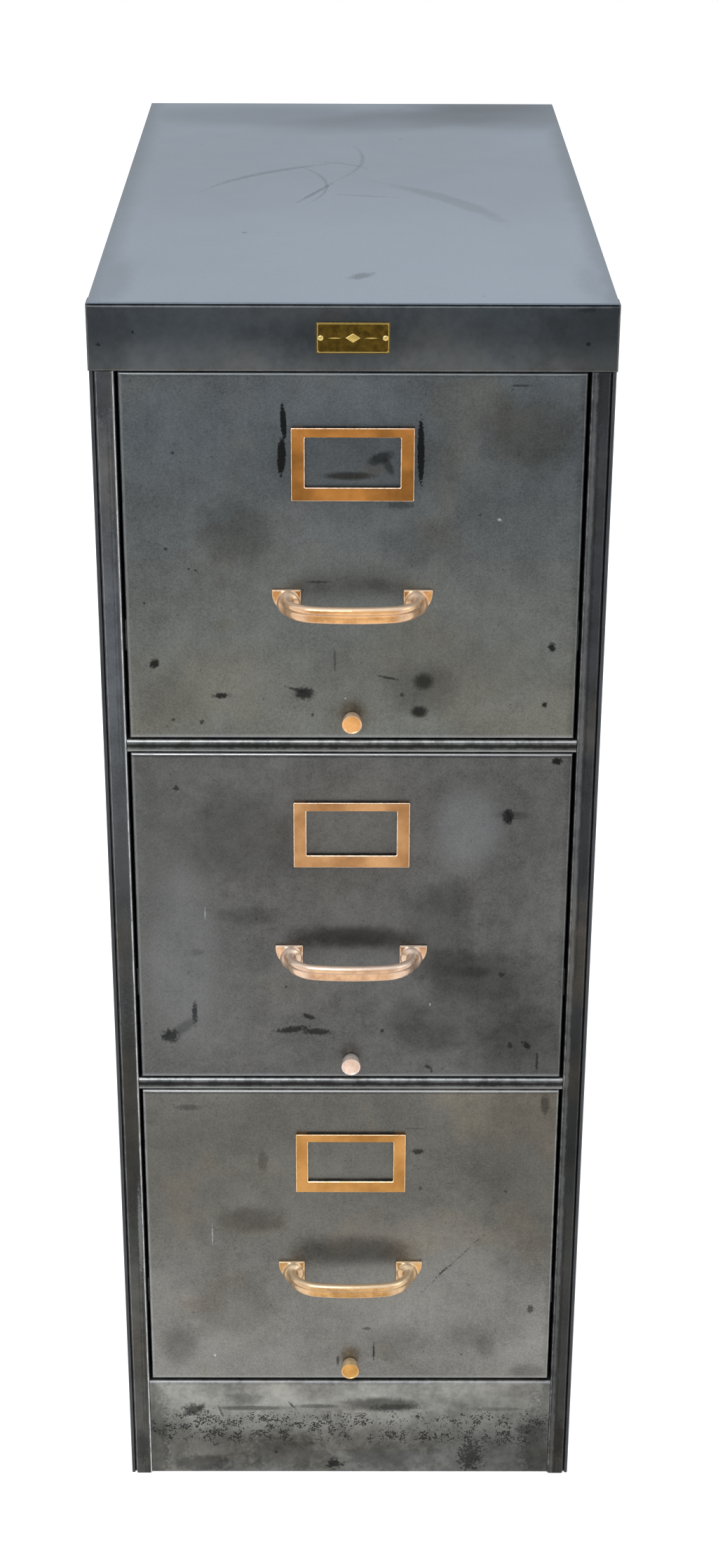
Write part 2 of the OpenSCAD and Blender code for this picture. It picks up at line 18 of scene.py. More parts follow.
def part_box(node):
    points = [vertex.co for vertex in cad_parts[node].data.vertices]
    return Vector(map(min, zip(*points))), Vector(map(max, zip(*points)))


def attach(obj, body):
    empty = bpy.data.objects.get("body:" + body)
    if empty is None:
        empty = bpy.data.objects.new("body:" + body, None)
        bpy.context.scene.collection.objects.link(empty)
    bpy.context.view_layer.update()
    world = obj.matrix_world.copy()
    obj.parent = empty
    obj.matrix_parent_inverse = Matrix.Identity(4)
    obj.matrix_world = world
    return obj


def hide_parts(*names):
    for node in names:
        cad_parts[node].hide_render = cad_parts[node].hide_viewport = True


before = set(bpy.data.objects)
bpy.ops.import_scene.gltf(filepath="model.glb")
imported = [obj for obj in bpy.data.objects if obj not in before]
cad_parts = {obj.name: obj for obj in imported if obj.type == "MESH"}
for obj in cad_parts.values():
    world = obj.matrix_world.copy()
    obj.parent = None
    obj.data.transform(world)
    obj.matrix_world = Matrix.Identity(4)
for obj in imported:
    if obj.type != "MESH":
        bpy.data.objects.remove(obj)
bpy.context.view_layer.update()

LOG = logging.getLogger("letter_file")
MM = 0.001
LEVELS = ("bottom", "middle", "top")
SIDES = (("left", -1), ("right", 1))
FLOAT, VECTOR, GEOMETRY = "NodeSocketFloat", "NodeSocketVector", "NodeSocketGeometry"
ORIGIN = Vector((0, 0, 0))

Rgb = tuple[int, int, int]
Pair = tuple[float, float]
Rows = Sequence[Sequence[Vector]]
Web = tuple[list[Vector], list[Sequence[int]]]
Piece = bpy.types.Object
Outputs = bpy.types.NodeOutputs
Socket = bpy.types.NodeSocket
Tree = bpy.types.NodeTree
Material = bpy.types.Material


# --- Meshes ---


def add_object(name: str, data: bpy.types.ID) -> Piece:
    """Adds an object to the scene.

    Args:
        name: Its name.
        data: Its mesh, lamp or camera.

    Returns:
        The object.
    """
    made = bpy.data.objects.new(name, data)
    bpy.context.scene.collection.objects.link(made)
    return made


def mesh_piece(name: str, points: Sequence[Vector], faces: Sequence[Sequence[int]]) -> Piece:
    """Makes an object at the origin whose place is in its mesh.

    Args:
        name: Name of the object and of its mesh.
        points: Points of the mesh.
        faces: Its faces, as numbers of points.

    Returns:
        The object.
    """
    mesh = bpy.data.meshes.new(name)
    mesh.from_pydata([tuple(p) for p in points], [], [tuple(f) for f in faces])
    return add_object(name, mesh)


def seal(piece: Piece, slivers: bool = False) -> None:
    """Merges double vertices and turns the faces of a closed shell outwards.

    Args:
        piece: The shell.
        slivers: True also removes faces of no area, which a loop of no width leaves at a corner.
    """
    work = bmesh.new()
    work.from_mesh(piece.data)
    bmesh.ops.remove_doubles(work, verts=work.verts, dist=2e-6)
    bmesh.ops.recalc_face_normals(work, faces=work.faces)
    if slivers:
        bmesh.ops.dissolve_degenerate(work, dist=1e-6, edges=work.edges)
        bmesh.ops.recalc_face_normals(work, faces=work.faces)
    work.to_mesh(piece.data)
    work.free()


def settle(piece: Piece) -> None:
    """Applies the modifiers of a piece, so that its mesh is plain.

    Args:
        piece: The piece. It gets a new mesh.
    """
    graph = bpy.context.evaluated_depsgraph_get()
    mesh = bpy.data.meshes.new_from_object(piece.evaluated_get(graph))
    piece.modifiers.clear()
    old = piece.data
    piece.data = mesh
    bpy.data.meshes.remove(old)
    mesh.name = piece.name


def modify(piece: Piece, kind: str, **settings: object) -> None:
    """Puts one modifier on a piece and applies it.

    Args:
        piece: The piece.
        kind: Blender's name of the modifier's type.
        settings: The modifier's own settings.
    """
    tool = piece.modifiers.new(kind.lower(), kind)
    for name, value in settings.items():
        setattr(tool, name, value)
    settle(piece)


def cut(piece: Piece, cutter: Piece) -> None:
    """Takes the cutter's shape out of a piece, and removes the cutter."""
    modify(piece, "BOOLEAN", operation="DIFFERENCE", solver="EXACT", object=cutter)
    bpy.data.objects.remove(cutter)


def smooth(piece: Piece, angle: float = 32.0) -> None:
    """Shades bends smoothly and keeps flat faces flat.

    Args:
        piece: The piece, whose mesh is final.
        angle: Edges that turn by more than this many degrees stay sharp.
    """
    piece.data.shade_smooth()
    piece.data.set_sharp_from_angle(angle=math.radians(angle))
    modify(piece, "WEIGHTED_NORMAL", keep_sharp=True)


def ease(value: float) -> float:
    """Smooth step from 0 to 1."""
    value = min(max(value, 0.0), 1.0)
    return value * value * (3 - 2 * value)


def ripple(piece: Piece, axis: int, height: float, size: float, seed: float, inset: float = 0.03) -> None:
    """Gives a sheet the slight waves of hand-finished metal, away from its folded edges.

    Args:
        piece: The sheet.
        axis: The axis that its flat face looks along.
        height: How far the face may move. A negative height moves it down the axis.
        size: Length of the waves.
        seed: Shifts the pattern.
        inset: Width of the margin in which the waves fade in.
    """
    points = [v.co.copy() for v in piece.data.vertices]
    others = [k for k in range(3) if k != axis]
    low = [min(p[k] for p in points) for k in others]
    high = [max(p[k] for p in points) for k in others]
    for vertex, p in zip(piece.data.vertices, points):
        reach = min(min(p[k] - a, b - p[k]) for k, a, b in zip(others, low, high))
        flat = Vector((p[others[0]], p[others[1]], 0)) / size
        wave = 0.5 + 0.5 * noise.noise(flat + Vector((seed, 2.7 * seed, seed)))
        vertex.co[axis] += height * wave * ease(reach / inset)


# --- Shapes ---


def web(rows: Rows, closed: bool = True) -> Web:
    """Spans faces between rows of points.

    Args:
        rows: Rows of equal length.
        closed: True joins the end of each row to its start.

    Returns:
        All the points, and the faces as numbers of points.
    """
    size = len(rows[0])
    faces = [
        (a + k, a + (k + 1) % size, a + size + (k + 1) % size, a + size + k)
        for a in range(0, (len(rows) - 1) * size, size)
        for k in range(size if closed else size - 1)
    ]
    return [p for row in rows for p in row], faces


def lattice(low: Pair, high: Pair, columns: int, rows: int, place: Callable[[float, float], Vector]) -> Web:
    """Lays even rows of points over a rectangle.

    Args:
        low: Its lower corner.
        high: Its upper corner.
        columns: Number of spaces along the first coordinate.
        rows: Number of spaces along the second.
        place: Turns the two coordinates into a point.

    Returns:
        Its points and faces.
    """
    (x0, y0), (x1, y1) = low, high
    points = [
        [place(x0 + (x1 - x0) * i / columns, y0 + (y1 - y0) * j / rows) for i in range(columns + 1)]
        for j in range(rows + 1)
    ]
    return web(points, closed=False)


def patched(name: str, *webs: Web) -> Piece:
    """Joins webs that meet at their edges into one closed solid.

    Args:
        name: Name of the solid.
        webs: The webs, in order.

    Returns:
        The solid.
    """
    points: list[Vector] = []
    faces: list[Sequence[int]] = []
    for more_points, more_faces in webs:
        faces += [tuple(k + len(points) for k in face) for face in more_faces]
        points += more_points
    piece = mesh_piece(name, points, faces)
    seal(piece, slivers=True)
    return piece


def skin(name: str, rings: Rows, ring_shaped: bool = False) -> Piece:
    """Skin through rings of equal length.

    Args:
        name: Name of the piece.
        rings: The rings, in order.
        ring_shaped: True joins the last ring to the first. Otherwise both ends are capped.

    Returns:
        The closed solid.
    """
    points, faces = web(rings)
    size, last = len(rings[0]), len(points) - len(rings[0])
    if ring_shaped:
        faces += [(last + k, last + (k + 1) % size, (k + 1) % size, k) for k in range(size)]
    else:
        faces += [range(size), range(len(points) - 1, last - 1, -1)]
    piece = mesh_piece(name, points, faces)
    seal(piece)
    return piece


def box_cutter(low: Vector, high: Vector) -> Piece:
    """A plain box between two corners, to cut with.

    Args:
        low: Its lower corner.
        high: Its upper corner.

    Returns:
        The cutter.
    """
    corners = [Vector((x, y, z)) for z in (low.z, high.z) for y in (low.y, high.y) for x in (low.x, high.x)]
    faces = [(0, 2, 3, 1), (4, 5, 7, 6), (0, 1, 5, 4), (2, 6, 7, 3), (0, 4, 6, 2), (1, 3, 7, 5)]
    return mesh_piece("box_cutter", corners, faces)


def drill(centre: Vector, radius: float, start: float, end: float, sides: int = 40) -> Piece:
    """A round bar along y, to cut a hole with.

    Args:
        centre: A point on its axis.
        radius: Radius of the bar.
        start: Where it starts along y.
        end: Where it ends along y.
        sides: Number of its sides.

    Returns:
        The cutter.
    """
    turns = [2 * math.pi * k / sides for k in range(sides)]
    return skin("drill", [
        [Vector((centre.x + radius * math.cos(t), y, centre.z + radius * math.sin(t))) for t in turns]
        for y in (start, end)
    ])


def turned(name: str, centre: Vector, profile: Sequence[Pair], sides: int = 56) -> Piece:
    """A piece turned on a lathe, with its axis along y.

    Args:
        name: Name of the piece.
        centre: Where the profile's zero lies.
        profile: Pairs of distance along y and radius, from one end to the other.
        sides: Number of flats round it.

    Returns:
        The closed solid.
    """
    turns = [2 * math.pi * k / sides for k in range(sides)]
    return skin(name, [[centre + Vector((r * math.cos(t), y, r * math.sin(t))) for t in turns] for y, r in profile])


def rounded_ring(low: Vector, high: Vector, y: float, radius: float, parts: int = 4) -> list[Vector]:
    """A rectangle with round corners in a plane of constant y.

    Args:
        low: Lower corner.
        high: Upper corner.
        y: Place of the plane.
        radius: Radius of the corners.
        parts: Steps in each corner.

    Returns:
        Points of the ring.
    """
    right, left, top, bottom = high.x - radius, low.x + radius, high.z - radius, low.z + radius
    loop = []
    for corner, (x, z) in enumerate(((right, top), (left, top), (left, bottom), (right, bottom))):
        turns = [math.radians(90 * corner + 90 * k / parts) for k in range(parts + 1)]
        loop += [Vector((x + radius * math.cos(t), y, z + radius * math.sin(t))) for t in turns]
    return loop


def grown(low: Vector, high: Vector, by: float) -> tuple[Vector, Vector]:
    """The corners of a box that is wider and taller by a margin on each side."""
    margin = Vector((by, 0, by))
    return low - margin, high + margin


@dataclass
class FoldedSheet:
    """Sheet metal folded along a flat path, and as long as it needs to be.

    The path follows one face of the sheet, and the sheet's thickness lies on the left of it.
    """

    path: Sequence[Pair]
    radii: Sequence[float]
    thickness: float
    step: float = 0.04
    arc_parts: int = 7

    def outline(self) -> list[tuple[Vector, Vector]]:
        """Works out where both faces run.

        Returns:
            Pairs of points: one on the path's own face, one on the other face.
        """
        corners = [Vector(p) for p in self.path]
        pairs: list[tuple[Vector, Vector]] = []

        def add(point: Vector, heading: Vector) -> None:
            """Adds one pair, square to the heading."""
            pairs.append((point, point + Vector((-heading.y, heading.x)) * self.thickness))

        def run(start: Vector, end: Vector) -> None:
            """Adds a straight stretch in even steps.

            Args:
                start: Where the stretch starts.
                end: Where it ends.
            """
            length = (end - start).length
            if length < 1e-7:
                return
            parts = max(1, round(length / self.step))
            for k in range(parts + 1):
                add(start.lerp(end, k / parts), (end - start) / length)

        last = corners[0]
        for before, corner, after, radius in zip(corners, corners[1:], corners[2:], self.radii):
            arriving = (corner - before).normalized()
            leaving = (after - corner).normalized()
            side = 1 if arriving.x * leaving.y - arriving.y * leaving.x > 0 else -1
            angle = arriving.angle(leaving)
            start = corner - arriving * radius * math.tan(angle / 2)
            centre = start + side * radius * Vector((-arriving.y, arriving.x))
            run(last, start)
            for k in range(1, self.arc_parts):
                heading = Matrix.Rotation(side * angle * k / self.arc_parts, 2) @ arriving
                add(centre - side * radius * Vector((-heading.y, heading.x)), heading)
            last = corner + leaving * radius * math.tan(angle / 2)
        run(last, corners[-1])
        return pairs

    def solid(self, name: str, place: Callable[[float, float, float], Vector], start: float, end: float) -> Piece:
        """Draws the sheet out along the third direction.

        Args:
            name: Name of the piece.
            place: Turns the path's two coordinates and the third one into a point.
            start: Where the sheet starts along the third direction.
            end: Where it ends.

        Returns:
            The closed solid.
        """
        pairs = self.outline()
        around = [a for a, _ in pairs] + [b for _, b in reversed(pairs)]
        size, levels = len(around), max(1, round((end - start) / self.step))
        points, faces = web([
            [place(p.x, p.y, start + (end - start) * level / levels) for p in around] for level in range(levels + 1)
        ])
        for a in (0, levels * size):
            faces += [(a + k, a + k + 1, a + size - 2 - k, a + size - 1 - k) for k in range(len(pairs) - 1)]
        piece = mesh_piece(name, points, faces)
        seal(piece)
        return piece


@dataclass
class RoundedPan:
    """Pan folded from sheet: a flat face with rounded edges and mitred corners, open behind."""

    low: Vector
    high: Vector
    radius: float
    thickness: float
    columns: int = 34
    rows: int = 30
    bend_parts: int = 6

    def ring(self, offset: float, depth: float) -> list[Vector]:
        """A loop round the face, pushed out from its flat part.

        Args:
            offset: Distance from the flat part of the face.
            depth: Distance behind the face.

        Returns:
            Points round the loop, the same number for every loop.
        """
        x0, x1 = self.low.x + self.radius - offset, self.high.x - self.radius + offset
        z0, z1 = self.low.z + self.radius - offset, self.high.z - self.radius + offset
        corners = [Vector((x0, z0)), Vector((x1, z0)), Vector((x1, z1)), Vector((x0, z1))]
        sides = zip(corners, corners[1:] + corners[:1], (self.columns, self.rows) * 2)
        loop = [start.lerp(end, k / parts) for start, end, parts in sides for k in range(parts)]
        return [Vector((p.x, self.low.y + depth, p.y)) for p in loop]

    def face(self, depth: float) -> Web:
        """The flat part of the face, at a distance behind it.

        Args:
            depth: How far the face lies behind the front.

        Returns:
            Its points and faces.
        """
        low = (self.low.x + self.radius, self.low.z + self.radius)
        high = (self.high.x - self.radius, self.high.z - self.radius)
        return lattice(low, high, self.columns, self.rows, lambda x, z: Vector((x, self.low.y + depth, z)))

    def solid(self, name: str) -> Piece:
        """Builds the closed solid: outer face, rim and inner face.

        Args:
            name: Name of the solid.

        Returns:
            The solid.
        """
        inner, deep = self.radius - self.thickness, self.high.y - self.low.y
        turns = [math.radians(90 * k / self.bend_parts) for k in range(self.bend_parts + 1)]
        profile = [(self.radius * math.sin(t), self.radius * (1 - math.cos(t))) for t in turns]
        profile += [(self.radius, deep), (inner, deep)]
        profile += [(inner * math.sin(t), self.radius - inner * math.cos(t)) for t in reversed(turns)]
        return patched(name, self.face(0), web([self.ring(*place) for place in profile]), self.face(self.thickness))


# --- Shader wiring ---


def display(rgb: Rgb) -> tuple[float, float, float, float]:
    """Turns a display colour, from 0 to 255, into the linear colour and alpha that a shader takes.

    Args:
        rgb: Red, green and blue from 0 to 255.

    Returns:
        The colour for a socket.
    """
    parts = [c / 255 for c in rgb]
    linear = [c / 12.92 if c <= 0.04045 else ((c + 0.055) / 1.055) ** 2.4 for c in parts]
    return (linear[0], linear[1], linear[2], 1.0)


class Wiring:
    """Adds nodes to a tree and joins them."""

    def __init__(self, tree: Tree) -> None:
        """Starts on a tree."""
        self.tree = tree

    def feed(self, socket: Socket, value: object) -> None:
        """Joins an output to a socket, or sets the socket's own value.

        Args:
            socket: The input.
            value: A socket to link, or a value to set.
        """
        if isinstance(value, bpy.types.NodeSocket):
            self.tree.links.new(value, socket)
        else:
            socket.default_value = value

    def node(self, kind: str, **settings: object) -> Outputs:
        """Adds a node.

        Args:
            kind: Blender's name of the node's type.
            settings: The node's own settings, and its inputs, whose names start with a capital
                and have underscores for spaces.

        Returns:
            The node's outputs.
        """
        made = self.tree.nodes.new(kind)
        inputs = {name: value for name, value in settings.items() if name[0].isupper()}
        for name, value in settings.items():
            if name not in inputs:
                setattr(made, name, value)
        for name, value in inputs.items():
            self.feed(made.inputs[name.replace("_", " ")], value)
        return made.outputs

    def step(self, kind: str, *values: object, **settings: object) -> Socket:
        """Adds a node whose first inputs take the values in order.

        Args:
            kind: Blender's name of the node's type.
            values: What its inputs take.
            settings: The node's own settings.

        Returns:
            The node's first output.
        """
        made = self.node(kind, **settings)[0].node
        for socket, value in zip(made.inputs, values):
            self.feed(socket, value)
        return made.outputs[0]

    def math(self, operation: str, first: object, second: object = 0.0) -> Socket:
        """One step of arithmetic."""
        return self.step("ShaderNodeMath", first, second, operation=operation)

    def plus(self, first: object, second: object) -> Socket:
        """A sum."""
        return self.math("ADD", first, second)

    def minus(self, first: object, second: object) -> Socket:
        """A difference."""
        return self.math("SUBTRACT", first, second)

    def times(self, first: object, second: object) -> Socket:
        """A product."""
        return self.math("MULTIPLY", first, second)

    def vector(self, operation: str, first: object, second: object = (0, 0, 0)) -> Socket:
        """One step of vector arithmetic."""
        return self.step("ShaderNodeVectorMath", first, second, operation=operation)

    def scaled(self, vector: object, factor: object) -> Socket:
        """A vector or colour times a number."""
        return self.step("ShaderNodeVectorMath", vector, operation="SCALE", Scale=factor)

    def mix(self, factor: object, first: object, second: object) -> Socket:
        """Mixes two colours.

        Args:
            factor: Share of the second colour.
            first: First colour.
            second: Second colour.

        Returns:
            The mixed colour.
        """
        made = self.node("ShaderNodeMix", data_type="RGBA", clamp_factor=True)[0].node
        for place, value in ((0, factor), (6, first), (7, second)):
            self.feed(made.inputs[place], value)
        return made.outputs[2]

    def remap(self, value: object, low: object, high: object, to_low: float = 0.0, to_high: float = 1.0) -> Socket:
        """Takes a value from one range to another, smoothly."""
        return self.step("ShaderNodeMapRange", value, low, high, to_low, to_high, interpolation_type="SMOOTHSTEP")

    def noise(self, vector: object, scale: object, detail: float = 3.0, roughness: float = 0.55) -> Socket:
        """Soft noise from 0 to 1."""
        return self.node("ShaderNodeTexNoise", Vector=vector, Scale=scale, Detail=detail, Roughness=roughness)[0]

    def split(self, vector: object) -> Outputs:
        """The parts of a vector."""
        return self.step("ShaderNodeSeparateXYZ", vector).node.outputs

    def joined(self, x: object = 0.0, y: object = 0.0, z: object = 0.0) -> Socket:
        """A vector from its parts."""
        return self.step("ShaderNodeCombineXYZ", x, y, z)

    def group(self, tree: Tree, **inputs: object) -> Outputs:
        """Places a group, and gives its outputs."""
        return self.node("ShaderNodeGroup", node_tree=tree, **inputs)

    def metal(
        self, colour: Socket, rough: Socket, metallic: float, height: Socket, strength: float, distance: float
    ) -> None:
        """Ends a material as metal.

        Args:
            colour: Base colour.
            rough: Roughness.
            metallic: How much of it is metal.
            height: Height of the bump.
            strength: Strength of the bump.
            distance: Depth of the bump.
        """
        bump = self.node("ShaderNodeBump", Strength=strength, Distance=distance, Height=height)[0]
        shader = self.node(
            "ShaderNodeBsdfPrincipled", Metallic=metallic, Base_Color=colour, Roughness=rough, Normal=bump
        )[0]
        self.node("ShaderNodeOutputMaterial", Surface=shader)


def wired(block: Material | bpy.types.World) -> Wiring:
    """Empties the tree of a material or world, to be wired anew.

    Args:
        block: The material or world.

    Returns:
        The wiring of its tree.
    """
    block.use_nodes = True
    block.node_tree.nodes.clear()
    return Wiring(block.node_tree)


class Effect:
    """A shader group under construction: its tree, its wiring, and the inputs seen from inside."""

    def __init__(self, name: str, vectors: Sequence[str], floats: Sequence[str], gives: Sequence[str]) -> None:
        """Makes the tree and its sockets.

        Args:
            name: Name of the group.
            vectors: Its inputs that are vectors.
            floats: Its inputs that are numbers.
            gives: Its outputs, all numbers.
        """
        self.tree = bpy.data.node_groups.new(name, "ShaderNodeTree")
        sockets = [(v, "INPUT", VECTOR) for v in vectors] + [(f, "INPUT", FLOAT) for f in floats]
        for socket, way, kind in (*sockets, *((g, "OUTPUT", FLOAT) for g in gives)):
            self.tree.interface.new_socket(name=socket, in_out=way, socket_type=kind)
        self.wiring = Wiring(self.tree)
        self.take = self.wiring.node("NodeGroupInput")

    def give(self, **values: Socket) -> Tree:
        """Sends values out of the group, and gives its finished tree."""
        self.wiring.node("NodeGroupOutput", **values)
        return self.tree


def clouds_effect() -> Tree:
    """Broad clouds, fine blotches and the small tears at the edge of a spot, all from 0 to 1.

    Returns:
        The node group.
    """
    effect = Effect("patina clouds", ("Vector",), ("Size", "Seed"), ("Broad", "Fine", "Torn"))
    w, (vector, size, seed, *_) = effect.wiring, effect.take
    spread = w.scaled(vector, w.math("DIVIDE", 1.0, size))
    moved = w.vector("ADD", spread, w.joined(seed, w.times(seed, 3.1)))
    return effect.give(
        Broad=w.remap(w.noise(moved, 1.0, 3.0, 0.5), 0.32, 0.68),
        Fine=w.remap(w.noise(moved, 6.0, 6.0, 0.7), 0.3, 0.7),
        Torn=w.remap(w.noise(vector, 420.0, 2.0, 0.6), 0.3, 0.7),
    )


def grain_effect() -> Tree:
    """Fine grain of wire-brushed metal: a value for the colour, a height for the bump, and sparse dark specks.

    Returns:
        The node group.
    """
    effect = Effect("brushed grain", ("Vector",), ("Size",), ("Value", "Height", "Specks"))
    w, (vector, size, *_) = effect.wiring, effect.take
    spread = w.scaled(vector, w.math("DIVIDE", 1.0, size))
    specks = w.noise(spread, 1.0, 2.0, 0.6)
    rubbed = w.noise(w.vector("MULTIPLY", spread, (0.12, 0.4, 1.1)), 1.0, 2.0, 0.5)
    return effect.give(
        Value=w.remap(specks, 0.3, 0.7),
        Specks=w.remap(w.noise(spread, 0.45, 2.0, 0.6), 0.67, 0.75),
        Height=w.plus(w.times(specks, 0.6), w.times(rubbed, 0.4)),
    )


def mark_effect() -> Tree:
    """One smudge, spot or stroke on a flat face, laid over the marks below it.

    The mark is an oval that may be turned, bent into an arc and broken up at its edge.

    Returns:
        The group's tree.
    """
    numbers = ("Half Length", "Half Width", "Turn", "Bend", "Softness", "Ragged", "Noise", "Strength", "Below")
    effect = Effect("mark on a face", ("Vector", "Centre"), numbers, ("Mask",))
    w, (vector, centre, half_length, half_width, turn, bend, softness, ragged, torn, strength, below, *_) = (
        effect.wiring, effect.take
    )
    moved = w.vector("SUBTRACT", vector, centre)
    face = w.node("ShaderNodeVectorRotate", rotation_type="Z_AXIS", Vector=moved, Angle=w.times(turn, -1.0))[0]
    x, y, _ = w.split(face)
    along = w.math("DIVIDE", x, half_length)
    across = w.math("DIVIDE", w.minus(y, w.times(w.times(x, x), bend)), half_width)
    reach = w.math("SQRT", w.plus(w.times(along, along), w.times(across, across)))
    edge = w.times(softness, 0.5)
    reach = w.plus(reach, w.times(w.minus(torn, 0.5), ragged))
    own = w.times(w.remap(reach, w.plus(1.0, edge), w.minus(1.0, edge)), strength)
    return effect.give(Mask=w.plus(below, w.times(own, w.minus(1.0, below))))


def bend_effect() -> Tree:
    """Where the metal is bent: 0 on faces square to the axes, 1 on a bend or bevel.

    Returns:
        The node group.
    """
    effect = Effect("bends", ("Normal",), ("Noise",), ("Mask",))
    w, (normal, torn, *_) = effect.wiring, effect.take
    x, y, z = w.split(w.vector("ABSOLUTE", w.vector("NORMALIZE", normal)))
    widest = w.math("MAXIMUM", w.math("MAXIMUM", x, y), z)
    bent = w.remap(w.minus(1.0, widest), 0.004, 0.12)
    return effect.give(Mask=w.times(bent, w.remap(torn, 0.1, 0.75, 0.55, 1.0)))


def pits_effect() -> Tree:
    """Rust pits that join into short worm tracks, thicker where the amount is high.

    Returns:
        The node group.
    """
    effect = Effect("rust pits", ("Vector",), ("Size", "Amount"), ("Mask",))
    w, (vector, size, amount, *_) = effect.wiring, effect.take
    spread = w.scaled(vector, w.math("DIVIDE", 1.0, size))
    warped = w.vector("ADD", spread, w.scaled(w.joined(w.noise(spread, 0.9), 0.0, w.noise(spread, 1.1)), 1.6))
    cells = w.node("ShaderNodeTexVoronoi", feature="F1", Vector=warped, Scale=1.0)["Distance"]
    patchy = w.times(amount, w.remap(w.noise(spread, 0.22, 3.0, 0.6), 0.34, 0.62))
    return effect.give(Mask=w.remap(w.minus(w.times(patchy, 0.62), cells), -0.05, 0.14))


CLOUDS = clouds_effect()
GRAIN = grain_effect()
MARK = mark_effect()
BENDS = bend_effect()
PITS = pits_effect()


# --- Finishes ---


class Stain(Enum):
    """What a mark or band does to the metal's colour."""

    DARK = "dark"
    BROWN = "brown"
    BRIGHT = "bright"


DARK, BROWN, BRIGHT = Stain


class Plane(Enum):
    """The face that marks are laid on, by the axes that run across it and up it."""

    FRONT = (0, 2)
    TOP = (0, 1)
    SIDE = (1, 2)


@dataclass(frozen=True)
class Mark:
    """A smudge, spot, scar, scratch or painted shadow. Lengths are in millimetres, from the piece's own zero."""

    across: float
    up: float
    half_length: float
    half_width: float
    strength: float
    turn: float = 0.0
    bend: float = 0.0
    softness: float = 0.8
    ragged: float = 0.5
    stain: Stain = DARK


@dataclass(frozen=True)
class Band:
    """A straight stripe along a face. Lengths are in millimetres, from the piece's own zero."""

    place: float
    half_width: float
    strength: float
    softness: float = 0.8
    ragged: float = 0.3
    upright: bool = False
    stain: Stain = BRIGHT


def marks(*rows: tuple[float, ...], **look: float | Stain) -> tuple[Mark, ...]:
    """Marks of one look, each given by its place, half sizes, strength, and maybe turn and bend."""
    return tuple(Mark(*row, **look) for row in rows)


def dots(*places: tuple[float, float, float], strength: float = 0.7) -> tuple[Mark, ...]:
    """Small round spots, each given by its place and radius."""
    return tuple(Mark(x, z, r, r, strength, softness=0.6, ragged=0.8) for x, z, r in places)


def upright(place: float, half_width: float, strength: float, **look: float | Stain) -> Band:
    """A band that runs up the face."""
    return Band(place, half_width, strength, upright=True, **look)


def edge_highlight_bands(bottom: float, top: float) -> tuple[Band, ...]:
    """Painted highlights along the lower and upper edges of a drawer front and faintly up its left edge, with a dark
    line under the upper one and a darker band up the right edge, by how bright the lower and upper edges are.

    Args:
        bottom: Strength at the lower edge.
        top: Strength at the upper edge.

    Returns:
        The bands.
    """
    return (
        Band(-0.6, 3.6, bottom, softness=0.95), Band(285.2, 0.5, 1.6 * top, ragged=0.4),
        Band(283.5, 1.1, top, stain=DARK), upright(-167.6, 1.6, 0.10),
        upright(170, 9, 0.3, softness=0.95, stain=DARK),
    )


